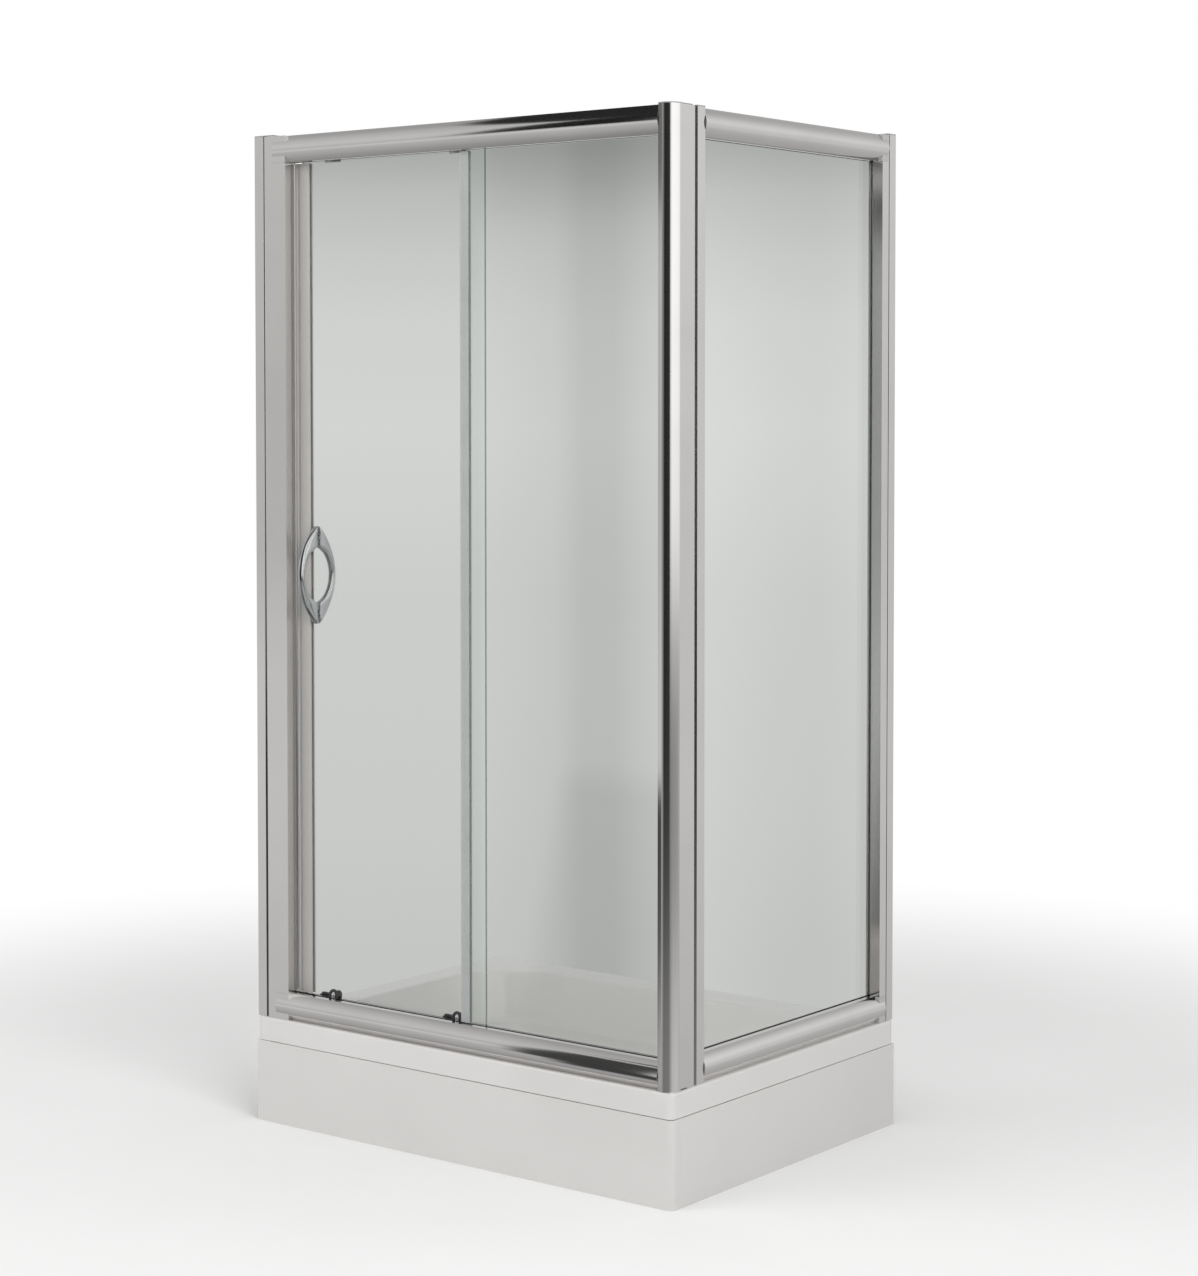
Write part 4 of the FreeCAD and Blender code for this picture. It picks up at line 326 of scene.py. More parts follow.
@dataclass(frozen=True)
class Moulded:
    """Acrylic, plastic or rubber: a ground colour, a fine skin and a slow waviness."""

    name: str
    colour: Colour
    roughness: float
    skin_scale: float = 1400.0
    skin_strength: float = 0.06
    wave_strength: float = 0.0
    coat: float = 0.0
    spread: float = 0.015
    skin_depth: float = 0.0001
    wave_depth: float = 0.002
    gloss_change: float = 0.15

    def build(self) -> Material:
        """Builds the material.

        Returns:
            The material.
        """
        grain = Grain(self.name)
        normal = grain.bump(grain.noise(self.skin_scale, 2), self.skin_strength, self.skin_depth)
        if self.wave_strength:
            normal = grain.bump(grain.noise(9, 1), self.wave_strength, self.wave_depth, normal)
        low, high = (self.roughness * share for share in (1 - self.gloss_change, 1 + self.gloss_change))
        return grain.done(grain.body({
            "Base Color": grain.tone(grain.noise(5, 3), self.colour, self.spread),
            "Roughness": grain.shift(grain.noise(60, 4), low, high),
            "Coat Weight": self.coat,
            "Coat Roughness": 0.06,
            "Normal": normal,
        }))


@dataclass(frozen=True)
class ClearGlass:
    """Toughened float glass: nearly clear faces with faint smears, and green edges.

    face_axis is the number of the axis that the faces look along.
    """

    name: str
    face_axis: int
    face_tint: Colour = (0.982, 0.99, 0.983)
    edge_tint: Colour = (0.30, 0.42, 0.36)
    head_on: float = 0.045
    falloff: float = 5.0
    face_from: float = 0.8
    smears: Pair = (0.02, 0.07)

    def build(self) -> Material:
        """Builds the material.

        Returns:
            The material.
        """
        grain = Grain(self.name)
        facing = grain.node("ShaderNodeTexCoord").outputs["Normal"]
        across = grain.maths("ABSOLUTE", grain.parts(facing)[self.face_axis])
        flat = grain.maths("GREATER_THAN", across, self.face_from)
        clear = grain.clear(grain.blend(flat, (*self.edge_tint, 1), (*self.face_tint, 1)))
        smears = grain.shift(grain.noise(30, 4), *self.smears)
        shine = grain.node("ShaderNodeBsdfGlossy", {"Color": (1, 1, 1, 1), "Roughness": smears}).outputs[0]
        slant = grain.node("ShaderNodeLayerWeight", {"Blend": 0.5}).outputs["Facing"]
        rim = grain.maths("POWER", slant, self.falloff)
        gloss = grain.maths("MULTIPLY_ADD", rim, 1 - self.head_on, self.head_on)
        return grain.done(grain.either(gloss, clear, shine))


@dataclass(frozen=True)
class ClearPlastic:
    """Milky translucent plastic, as soft seals are made of."""

    name: str
    colour: Colour = (0.52, 0.54, 0.53)
    gap: Colour = (0.8, 0.83, 0.81)
    clear: float = 0.35

    def build(self) -> Material:
        """Builds the material.

        Returns:
            The material.
        """
        grain = Grain(self.name)
        body = grain.body({
            "Base Color": grain.tone(grain.noise(20, 3), self.colour, 0.03),
            "Roughness": grain.shift(grain.noise(120, 3), 0.25, 0.4),
            "Normal": grain.bump(grain.noise(700, 2), 0.1, 0.0001),
        })
        return grain.done(grain.either(self.clear, body, grain.clear((*self.gap, 1))))


BRIGHT: Colour = (0.81, 0.795, 0.785)
CHROME: Colour = (0.78, 0.79, 0.80)
UPRIGHT = Metal("bright_upright", BRIGHT, 0.13, Run.ALONG_Z, line_strength=0.012, wear=0.015)
FRONT_RAIL = Metal("bright_front_rail", BRIGHT, 0.115, Run.ALONG_X, line_strength=0.03, wear=0.02)
SIDE_RAIL = Metal("bright_side_rail", BRIGHT, 0.13, Run.ALONG_Y, line_strength=0.03, wear=0.02)
POLISHED = Metal("polished_chrome", CHROME, 0.06, line_scale=1500, line_strength=0.01, wear=0.02)
EDGE_PROFILE = Moulded("satin_edge_profile", (0.43, 0.415, 0.395), 0.32, 900, 0.05)
BOW_CHROME = Metal("bow_chrome", (0.56, 0.57, 0.58), 0.07, line_scale=1500, line_strength=0.01, wear=0.02)
PLUG_PLASTIC = Moulded("rail_plug", (0.44, 0.435, 0.43), 0.4, 900, 0.15)
PLATE_STEEL = Metal("plate_steel", (0.62, 0.62, 0.61), 0.3, Run.ALONG_X, 700, 0.12)
SCREW_STEEL = Metal("screw_steel", (0.50, 0.50, 0.49), 0.26, line_strength=0.04)
RING_STEEL = Metal("ground_ring", (0.46, 0.46, 0.46), 0.2)
ZINC = Galvanised("galvanised_tube", (0.46, 0.47, 0.48))
ACRYLIC = Moulded("white_acrylic", (0.665, 0.652, 0.64), 0.16, wave_strength=0.10, coat=0.6)
PANEL = Moulded("white_panel", (0.64, 0.627, 0.614), 0.2, wave_strength=0.08, coat=0.4)
GREY_GASKET = Moulded("grey_gasket", (0.24, 0.24, 0.235), 0.5, 900, 0.15)
# near-black colour for the rims of the chrome roller caps: a painted dark reflection, not a dark part
CAP_RIM_PAINTED_REFLECTION = Moulded("cap_rim_painted_dark_reflection", (0.045, 0.045, 0.047), 0.18, 900, 0.05)
BLACK_RUBBER = Moulded("black_rubber", (0.022, 0.022, 0.022), 0.6, 900, 0.2)
BLACK_PLASTIC = Moulded("black_plastic", (0.02, 0.02, 0.021), 0.42, 800, 0.25, spread=0.1)
GREY_PLASTIC = Moulded("grey_cap", (0.26, 0.26, 0.255), 0.35, 900, 0.15)
NYLON = Moulded("white_nylon", (0.62, 0.62, 0.59), 0.45, 700, 0.15)
WASTE_WHITE = Moulded("waste_plastic", (0.66, 0.66, 0.64), 0.4, 700, 0.15)
MAGNET = Moulded("magnet_strip", (0.50, 0.50, 0.49), 0.45, 900, 0.12)
FRONT_GLASS = ClearGlass("front_glass", 1)
SIDE_GLASS = ClearGlass("side_glass_finish", 0)
MILKY = ClearPlastic("milky_seal")

NODE_FINISHES = {
    ACRYLIC: "shower_tray",
    PANEL: "front_apron side_apron",
    UPRIGHT: "left_wall_profile left_jamb corner_post side_front_stile side_rear_jamb rear_wall_profile",
    EDGE_PROFILE: "door_edge_profile",
    FRONT_RAIL: "front_top_rail front_bottom_rail",
    SIDE_RAIL: "side_top_rail side_bottom_rail",
    FRONT_GLASS: "front_fixed_glass door_glass",
    SIDE_GLASS: "side_glass",
    MILKY: "fixed_glass_seal handle_washers",
    GREY_GASKET: "front_glass_gaskets side_glass_gaskets",
    BLACK_RUBBER: "door_stops",
    MAGNET: "jamb_magnet_strip door_magnet_strip",
    POLISHED: "outer_handle inner_handle roller_caps waste_cover",
    SCREW_STEEL: "foot_locknuts joining_screws handle_studs hanger_screws",
    ZINC: "support_frame apron_brackets",
    BLACK_PLASTIC: "levelling_feet bottom_left_roller bottom_right_roller release_button_left"
                   " release_button_right",
    PLATE_STEEL: "top_left_hanger top_right_hanger",
    NYLON: "top_left_wheel top_right_wheel bottom_left_wheel bottom_right_wheel",
    RING_STEEL: "top_left_bearing top_right_bearing bottom_left_bearing bottom_right_bearing",
    WASTE_WHITE: "waste_body",
    GREY_PLASTIC: "post_cap profile_caps",
}


@cache
def material_of(finish: object) -> Material:
    """A finish's material, built at the first call."""
    return finish.build()


def dress_nodes() -> None:
    """Gives every carried-over node its finish."""
    for finish, nodes in NODE_FINISHES.items():
        for node in nodes.split():
            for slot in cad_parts[node].material_slots:
                slot.material = material_of(finish)
            log.info("dressed %s in %s", node, finish.name)


# -------------------- ways to make a piece

class Recipe(Wiring):
    """A Geometry Nodes tree with named inputs, which turns an object's mesh into a finished one."""

    def __init__(self, name: str) -> None:
        """Starts a tree with its geometry sockets and its material.

        Args:
            name: the tree's name.
        """
        super().__init__(bpy.data.node_groups.new(name, "GeometryNodeTree"))
        self.tree.is_modifier = True
        self.tree.interface.new_socket("Geometry", in_out="OUTPUT", socket_type="NodeSocketGeometry")
        self.entry = self.node("NodeGroupInput")
        self.exit = self.node("NodeGroupOutput")
        self.inputs: dict[str, object] = {}
        self.shape = self.size("Shape", "NodeSocketGeometry")

    def size(self, name: str, kind: str = "NodeSocketFloat") -> Socket:
        """Adds a named input and gives its value inside the tree."""
        self.inputs[name] = self.tree.interface.new_socket(name, in_out="INPUT", socket_type=kind)
        return self.entry.outputs[name]

    def line(self, count: Socket, step: Socket) -> Socket:
        """A row of points from the origin, each a step from the one before."""
        return self.node("GeometryNodeMeshLine", {"Count": count, "Offset": step}, mode="OFFSET").outputs[0]

    def repeat(self, points: Socket, shape: Socket) -> Socket:
        """A shape at each of the points."""
        made = self.node("GeometryNodeInstanceOnPoints", {"Points": points, "Instance": shape})
        return made.outputs["Instances"]

    def finish(self, result: Socket) -> None:
        """Realizes the result and gives it its material.

        Args:
            result: the geometry that the tree has made.
        """
        material = self.size("Material", "NodeSocketMaterial")
        solid = self.node("GeometryNodeRealizeInstances", {"Geometry": result}).outputs[0]
        dressed = self.node("GeometryNodeSetMaterial", {"Geometry": solid, "Material": material})
        self.feed(self.exit, {"Geometry": dressed.outputs[0]})

    def apply(self, piece: Piece, **values: object) -> None:
        """Turns a piece into what the tree makes of it.

        Args:
            piece: the object with the starting mesh.
            **values: the inputs, by name with underscores for spaces.
        """
        modifier = piece.modifiers.new("recipe", "NODES")
        modifier.node_group = self.tree
        for name, value in values.items():
            modifier[self.inputs[name.replace("_", " ")].identifier] = value
        graph = bpy.context.evaluated_depsgraph_get()
        made = bpy.data.meshes.new_from_object(piece.evaluated_get(graph), depsgraph=graph)
        piece.modifiers.clear()
        piece.data = made


def lattice_recipe() -> Recipe:
    """The tree that repeats a shape in rows, and the rows in ranks.

    Returns:
        The tree.
    """
    recipe = Recipe("lattice")
    count, step = recipe.size("Count", "NodeSocketInt"), recipe.size("Step", "NodeSocketVector")
    ranks, rank_step = recipe.size("Ranks", "NodeSocketInt"), recipe.size("Rank Step", "NodeSocketVector")
    row = recipe.repeat(recipe.line(count, step), recipe.shape)
    recipe.finish(recipe.repeat(recipe.line(ranks, rank_step), row))
    return recipe


def thread_recipe() -> Recipe:
    """The tree that winds a ridge round a spindle.

    Returns:
        The tree.
    """
    recipe = Recipe("thread")
    turns, radius, length, ridge = (recipe.size(name) for name in ("Turns", "Radius", "Length", "Ridge"))
    spiral = recipe.node("GeometryNodeCurveSpiral", {
        "Resolution": 20, "Rotations": turns, "Start Radius": radius, "End Radius": radius,
        "Height": length}).outputs["Curve"]
    section = recipe.node("GeometryNodeCurvePrimitiveCircle",
                          {"Resolution": 4, "Radius": ridge}).outputs["Curve"]
    wound = recipe.node("GeometryNodeCurveToMesh",
                        {"Curve": spiral, "Profile Curve": section, "Fill Caps": True})
    recipe.finish(wound.outputs["Mesh"])
    return recipe


CROSS_ARM = 0.24


class Outline(Enum):
    """The outline of a turned ring, as its radius at an angle over its full radius."""

    ROUND = "round"
    HEXAGON = "hexagon"
    CROSS = "cross"

    def share(self, angle: float) -> float:
        """The radius at an angle over the full radius.

        Args:
            angle: the angle in radians.

        Returns:
            The share, 1 at the corners or arms.
        """
        if self is Outline.HEXAGON:
            side = tau / 6
            return cos(side / 2) / cos(angle % side - side / 2)
        if self is Outline.CROSS:
            arm = (angle + tau / 8) % (tau / 4) - tau / 8
            return min(1 / cos(arm), CROSS_ARM / max(abs(sin(arm)), 0.01))
        return 1.0


@dataclass(frozen=True)
class Ring:
    """One ring of a turned piece: its radius, its place along the axis and its outline, in mm."""

    radius: float
    along: float
    outline: Outline = Outline.ROUND


RingSizes = Pair | tuple[float, float, Outline]


def placed(name: str, data: bpy.types.ID) -> Piece:
    """Puts a new object in the scene.

    Args:
        name: its name.
        data: its mesh, light or camera.

    Returns:
        The object.
    """
    made = bpy.data.objects.new(name, data)
    bpy.context.scene.collection.objects.link(made)
    return made


def lofted(name: str, solids: list[Loops], sharp: float = 35.0) -> Piece:
    """A piece of one or more closed solids, with smooth faces and sharp arrises.

    Args:
        name: the piece's name.
        solids: the loops of each solid, in mm. Each loop is joined to the next, and both ends are closed.
        sharp: the angle in degrees from which an edge stays sharp.

    Returns:
        The new object.
    """
    shape = bmesh.new()
    for loops in solids:
        rows = [[shape.verts.new(spot * MM) for spot in loop] for loop in loops]
        for near, far in zip(rows, rows[1:]):
            for step, corner in enumerate(near):
                after = (step + 1) % len(near)
                shape.faces.new((corner, near[after], far[after], far[step]))
        shape.faces.new(rows[0][::-1])
        shape.faces.new(rows[-1])
    bmesh.ops.recalc_face_normals(shape, faces=shape.faces)
    for face in shape.faces:
        face.smooth = True
    for edge in shape.edges:
        edge.smooth = edge.calc_face_angle(0) < radians(sharp)
    mesh = bpy.data.meshes.new(name)
    shape.to_mesh(mesh)
    shape.free()
    return placed(name, mesh)


def turned(name: str, rings: tuple[RingSizes, ...], place: Vector, axis: Triple,
           segments: int = 48) -> Piece:
    """A piece turned about an axis, with its first and last ring closed.

    Args:
        name: the piece's name.
        rings: its rings' sizes, from the back to the front.
        place: the axis's start, in mm.
        axis: the way that the rings' places run.
        segments: facets round the axis.

    Returns:
        The new object.
    """
    turn = Vector((0, 0, 1)).rotation_difference(Vector(axis)).to_matrix()
    loops = []
    for ring in (Ring(*sizes) for sizes in rings):
        loop = []
        for step in range(segments):
            angle = tau * step / segments
            reach = ring.radius * ring.outline.share(angle)
            loop.append(turn @ Vector((reach * cos(angle), reach * sin(angle), ring.along)) + place)
        loops.append(loop)
    return lofted(name, [loops])


# -------------------- sub-assemblies

@dataclass
class Bench:
    """What the sub-assemblies share: the Geometry Nodes trees, and the ways to finish a piece."""

    lattice: Recipe
    thread: Recipe

    def dress(self, piece: Piece, finish: object) -> None:
        """Gives a piece its finish."""
        piece.data.materials.clear()
        piece.data.materials.append(material_of(finish))

    def repeat(self, piece: Piece, finish: object, count: int, step: Triple, ranks: int = 1,
               rank_step: Triple = (0, 0, 0)) -> None:
        """Repeats a piece in rows and ranks, with steps in mm, and gives it its finish."""
        self.lattice.apply(piece, Count=count, Step=Vector(step) * MM, Ranks=ranks,
                           Rank_Step=Vector(rank_step) * MM, Material=material_of(finish))

    def fit(self, piece: Piece, body: str, slot: str, *stands_for: str) -> None:
        """Puts a finished piece on its body and reports it.

        Args:
            piece: the piece.
            body: the body that it rides on.
            slot: the name of a material slot, which is not used.
            *stands_for: the nodes that it replaces.
        """
        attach(piece, body)
        if stands_for:
            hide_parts(*stands_for)
        log.info("fitted %s on %s: %d faces", piece.name, body, len(piece.data.polygons))


OUTWARD: Triple = (0, -1, 0)


@dataclass
class Handles:
    """Two crescent bows, back to back on the door, in mm."""

    bench: Bench
    x: float = -412.0
    middle: float = 1173.0
    half_length: float = 103.0
    half_opening: float = 59.0
    reach: float = 50.0
    opening_reach: float = 36.0
    half_width: float = 7.0
    faces: Pair = (-359.5, -352.5)
    thinnest: float = 0.4
    foot_lead: float = 12.0
    foot_blend: float = 14.0
    tip_from: float = 0.9
    tip_taper: float = 0.45
    roundness: float = 2.2
    foot_squareness: float = 5.0
    arris: float = 60.0
    levels: int = 96
    around: int = 32

    def arc(self, along: float, half: float, reach: float) -> float:
        """How far off the glass an arc stands: 0 at each half, its reach in the middle."""
        radius = (half * half + reach * reach) / (2 * reach)
        return max(0.0, reach - radius + sqrt(max(0.0, radius * radius - along * along)))

    def section(self, along: float) -> Section:
        """The bow's section at one height.

        Args:
            along: the distance from the bow's middle.

        Returns:
            Points across the glass and away from it.
        """
        outer = max(self.arc(along, self.half_length, self.reach), self.thinnest)
        inner = self.arc(along, self.half_opening, self.opening_reach)
        foot = min(1.0, max(0.0, (abs(along) - self.half_opening + self.foot_lead) / self.foot_blend))
        middle, depth = (outer + inner) / 2, (outer - inner) / 2
        tip = max(0.0, (abs(along) / self.half_length - self.tip_from) / (1 - self.tip_from))
        width = self.half_width * (1 - self.tip_taper * tip ** 2)
        points = []
        for step in range(self.around):
            angle = tau * step / self.around
            cosine, sine = cos(angle), sin(angle)
            power = 2 / (self.roundness + (0.0 if sine > 0 else self.foot_squareness * foot))
            points.append((copysign(abs(cosine) ** power, cosine) * width,
                           middle + copysign(abs(sine) ** power, sine) * depth))
        return points

    def build(self) -> None:
        """Lofts and fits both bows, each from its lower tip to its upper one."""
        heights = [-self.half_length * cos(pi * level / self.levels)
                   for level in range(self.levels + 1)]
        for name, node, face, way in (("outer_bow", "outer_handle", self.faces[0], -1),
                                      ("inner_bow", "inner_handle", self.faces[1], 1)):
            loops = [[Vector((self.x + x, face + way * away, self.middle + along))
                      for x, away in self.section(along)] for along in heights]
            piece = lofted(name, [loops], self.arris)
            self.bench.dress(piece, BOW_CHROME)
            self.bench.fit(piece, "sliding_door", "handle_chrome", node)


@dataclass
class RollerCaps:
    """The two round caps of the bottom rollers, in mm: a chrome rim, coloured near-black as a painted dark
    reflection of its edge, round a bright domed screw.
    """

    bench: Bench
    start: Triple = (-364.0, -358.5, 285.0)
    spacing: float = 344.0
    radius: float = 14.0
    thickness: float = 2.6
    dome_radius: float = 7.6
    stem_radius: float = 5.0
    stem_length: float = 15.3
    socket: float = 2.4

    def build(self) -> None:
        """Builds and fits the rings, and the screws with their hexagonal sockets and their stems."""
        full, thick, dome, stem, end, socket = (self.radius, self.thickness, self.dome_radius,
                                                self.stem_radius, -self.stem_length, self.socket)
        inner, six = dome + 0.5, Outline.HEXAGON
        ring = ((inner, 0), (full - 0.4, 0), (full, 0.4), (full, thick - 1.1),
                (full - 0.35, thick - 0.4), (full - 1.2, thick), (inner + 1.6, thick),
                (inner + 0.5, thick - 0.4), (inner, thick - 1.2), (inner, 0.4))
        screw = ((stem - 0.6, end), (stem, end + 0.6), (stem, 0.2), (dome, 0.2),
                 (dome, 1.0), (dome * 0.93, 1.5), (dome * 0.8, 1.95), (dome * 0.6, 2.3),
                 (socket + 0.4, thick - 0.1), (socket, thick - 0.15, six), (socket - 0.1, 0.9, six))
        # the rims take the near-black painted dark reflection, and the screws take polished chrome
        for name, rings, finish in (("roller_cap_rings", ring, CAP_RIM_PAINTED_REFLECTION),
                                    ("roller_cap_screws", screw, POLISHED)):
            piece = turned(name, rings, Vector(self.start), OUTWARD)
            self.bench.repeat(piece, finish, 2, (self.spacing, 0, 0))
            self.bench.fit(piece, "sliding_door", "cap_chrome", "roller_caps")


@dataclass
class ProfileScrews:
    """The self-tapping screws that join each upright to its channel, in mm."""

    bench: Bench
    first_height: float = 375.0
    last_height: float = 1948.0
    along: int = 4
    head: float = 4.0
    head_height: float = 2.0
    shank: float = 2.0
    reach: float = 7.7
    point: float = 1.2
    pitch: float = 1.1

    def rings(self) -> tuple[RingSizes, ...]:
        """The screw's rings.

        Returns:
            The rings, from its tip to the cross in its head.
        """
        thread, root = [], self.shank * 0.74
        start = -self.reach + self.point
        while start < -self.pitch:
            thread += [(root, start), (self.shank, start + self.pitch / 2)]
            start += self.pitch
        head, top = self.head, self.head_height
        return ((0.3, -self.reach), *thread, (root, 0.0), (head * 0.96, 0.0),
                (head, 0.35), (head * 0.97, 0.9), (head * 0.84, 1.5), (head * 0.62, top - 0.15),
                (head * 0.56, top - 0.08), (head * 0.5, top - 0.1, Outline.CROSS),
                (head * 0.3, 0.5, Outline.CROSS))

    def build(self) -> None:
        """Builds and fits a column of screws for each upright."""
        step = (self.last_height - self.first_height) / (self.along - 1)
        columns = (("left_jamb_screws", (-532.0, -344.0), (0, 1, 0)),
                   ("post_screws", (512.8, -337.1), (-1, 0, 0)),
                   ("rear_jamb_screws", (512.0, 381.5), (-1, 0, 0)))
        for name, (x, y), axis in columns:
            piece = turned(name, self.rings(), Vector((x, y, self.first_height)), axis)
            self.bench.repeat(piece, SCREW_STEEL, self.along, (0, 0, step))
            self.bench.fit(piece, "enclosure", "fastener_steel", "joining_screws")


@dataclass
class HangerScrews:
    """The two screws that hold the hangers to the door's glass, each with its nut, in mm."""

    bench: Bench
    start: Triple = (-364.0, -358.5, 2049.0)
    spacing: float = 344.0
    head: float = 4.8
    head_height: float = 2.0
    shank: float = 2.9
    nut_start: float = -10.3
    nut_height: float = 2.0

    def build(self) -> None:
        """Builds and fits the screws."""
        head, top, shank, six = self.head, self.head_height, self.shank, Outline.HEXAGON
        low, high = self.nut_start, self.nut_start + self.nut_height
        rings = ((shank - 0.5, low), (head * 0.9, low), (head, low + 0.3, six),
                 (head, high - 0.3, six), (head * 0.9, high), (shank, high), (shank, 0),
                 (head, 0), (head, 0.7), (head * 0.9, 1.35), (head * 0.72, top - 0.1),
                 (head * 0.56, top), (head * 0.5, top - 0.05, six), (head * 0.48, 0.6, six))
        piece = turned("hanger_socket_screws", rings, Vector(self.start), OUTWARD)
        self.bench.repeat(piece, SCREW_STEEL, 2, (self.spacing, 0, 0))
        self.bench.fit(piece, "sliding_door", "fastener_steel", "hanger_screws")


@dataclass
class FootThreads:
    """The rolled threads on the spindles of the six levelling feet, in mm."""

    bench: Bench
    start: Triple = (-517.5, -367.5, 12.0)
    spacing: Pair = (517.5, 735.0)
    radius: float = 6.0
    length: float = 67.0
    turns: float = 38.0
    ridge: float = 0.55

    def build(self) -> None:
        """Builds and fits the threads."""
        piece = placed("foot_threads", bpy.data.meshes.new("foot_threads"))
        material = material_of(SCREW_STEEL)
        self.bench.thread.apply(piece, Turns=self.turns, Radius=self.radius * MM, Length=self.length * MM,
                                Ridge=self.ridge * MM, Material=material)
        for vertex in piece.data.vertices:
            vertex.co += Vector(self.start) * MM
        self.bench.repeat(piece, SCREW_STEEL, 3, (self.spacing[0], 0, 0), 2, (0, self.spacing[1], 0))
        self.bench.fit(piece, "enclosure", "fastener_steel")


@dataclass
class ButtonRibs:
    """Grip ribs across the top of each release button, in mm."""

    bench: Bench
    start: Triple = (-404.0, -348.2, 286.0)
    door_spacing: float = 344.0
    count: int = 5
    pitch: float = 3.5
    half_length: float = 2.5
    radius: float = 0.55
    segments: int = 16

    def build(self) -> None:
        """Builds and fits the ribs of both buttons: bars with round backs and tapered ends."""
        r, half = self.radius, self.half_length
        rings = ((r * 0.3, -half), (r * 0.8, -half + 0.25), (r, -half + 0.6), (r, half - 0.6),
                 (r * 0.8, half - 0.25), (r * 0.3, half))
        for side, shift in (("left", 0.0), ("right", self.door_spacing)):
            start = Vector(self.start) + Vector((shift, 0, 0))
            piece = turned(f"button_ribs_{side}", rings, start, (0, 1, 0), self.segments)
            self.bench.repeat(piece, BLACK_PLASTIC, self.count, (self.pitch, 0, 0))
            self.bench.fit(piece, f"{side}_button", "button_plastic")


class RailEnd(Enum):
    """The rails' ends that show: the crown's X and Y, the way into the rail and the way to its back."""

    SIDE_FRONT = ((549.0, -290.1), (0, 1, 0), (-1, 0, 0))
    SIDE_REAR = ((549.0, 370.0), (0, -1, 0), (-1, 0, 0))
    FRONT_LEFT = ((-498.0, -399.0), (1, 0, 0), (0, 1, 0))

    def spot(self, low: float, across: float, depth: float, up: float) -> Vector:
        """A place back from the crown, into the rail and up from its underside, which is low, in mm."""
        (x, y), inward, away = self.value
        return Vector((x, y, low)) + Vector(away) * across + Vector(inward) * depth + Vector((0, 0, up))


@dataclass
class RailEndPieces:
    """What the pieces at the rails' ends share: the rails' section and heights, in mm.

    A section's points lie back from the rail's crown and over its underside.
    """

    bench: Bench
    height: float = 56.0
    bulge: float = 14.0
    low: float = 225.0
    rise: float = 1816.0

    def __post_init__(self) -> None:
        """Works out the middle of the rail's height and the radius of its front."""
        self.half = self.height / 2
        self.radius = (self.half ** 2 + self.bulge ** 2) / (2 * self.bulge)

    def place(self, name: str, end: RailEnd, solids: list[Sections], finish: object, slot: str) -> None:
        """Builds solids at the end of the lower rail, repeats them at the upper one and fits them.

        Args:
            name: the piece's name.
            end: the rails' end.
            solids: the sections of each solid, with how deep in the rail each of them lies.
            finish: the piece's finish.
            slot: the name of a material slot, passed on to the bench, which doesn't use it.
        """
        piece = lofted(name, [[[end.spot(self.low, across, depth, up) for across, up in points]
                               for depth, points in sections] for sections in solids])
        self.bench.repeat(piece, finish, 2, (0, 0, self.rise))
        self.bench.fit(piece, "enclosure", slot)


@dataclass
class RailPlugs(RailEndPieces):
    """Plugs that close the hollow of the rails where an end shows, in mm."""

    wall: float = 2.0
    inset: float = 0.4
    thickness: float = 1.6
    chamfer: float = 0.5
    play: float = 0.05
    segments: int = 20

    def section(self, chamfer: float) -> Section:
        """The hollow's outline, drawn in by a chamfer.

        Args:
            chamfer: how far it is drawn in.

        Returns:
            The section.
        """
        inner = self.radius - self.wall - self.play
        widest = asin((self.half - self.wall) / (self.radius - self.wall))
        angles = [widest * (2 * step / self.segments - 1) for step in range(self.segments + 1)]
        arc = [(self.radius - inner * cos(angle), self.half + inner * sin(angle))
               for angle in angles]
        back, edge = self.bulge - self.play, self.wall + self.play
        return [(min(max(across, self.wall + chamfer), self.bulge),
                 up + (chamfer if up < self.half else -chamfer))
                for across, up in [(back, edge), *arc, (back, self.height - edge)]]

    def build(self) -> None:
        """Builds and fits the plugs of the ends that show."""
        full = self.section(0.0)
        plug = [(self.inset, self.section(self.chamfer)), (self.inset + self.chamfer, full),
                (self.inset + self.thickness, full)]
        for end in RailEnd:
            self.place(f"{end.name.lower()}_plugs", end, [plug], PLUG_PLASTIC, "cap_plastic")


@dataclass
class RailSaddles(RailEndPieces):
    """Fillets that close an upright's face over and under each rail that enters it, in mm."""

    setback: float = 3.0
    clearance: float = 0.06
    segments: int = 12

    def section(self) -> Section:
        """The section of the fillet under a rail's bulge.

        Returns:
            The section.
        """
        outer = self.radius + self.clearance
        widest, narrow = asin(self.half / self.radius), acos((self.radius - self.setback) / outer)
        points = [(self.setback, self.clearance)]
        for step in range(self.segments + 1):
            angle = widest + (narrow - widest) * step / self.segments
            points.append((self.radius - outer * cos(angle),
                           max(self.half - outer * sin(angle), self.clearance)))
        return points

    def build(self) -> None:
        """Builds and fits the fillets of the left jamb and the rear jamb."""
        lower = self.section()
        upper = [(across, self.height - up) for across, up in lower]
        for name, end, length, finish, slot in (
                ("left_jamb_saddles", RailEnd.FRONT_LEFT, 36.6, UPRIGHT, "frame_metal"),
                ("rear_jamb_saddles", RailEnd.SIDE_REAR, 22.0, PLUG_PLASTIC, "cap_plastic")):
            depths = (self.clearance, length - self.clearance)
            self.place(name, end, [[(depth, points) for depth in depths] for points in (lower, upper)],
                       finish, slot)


# -------------------- studio

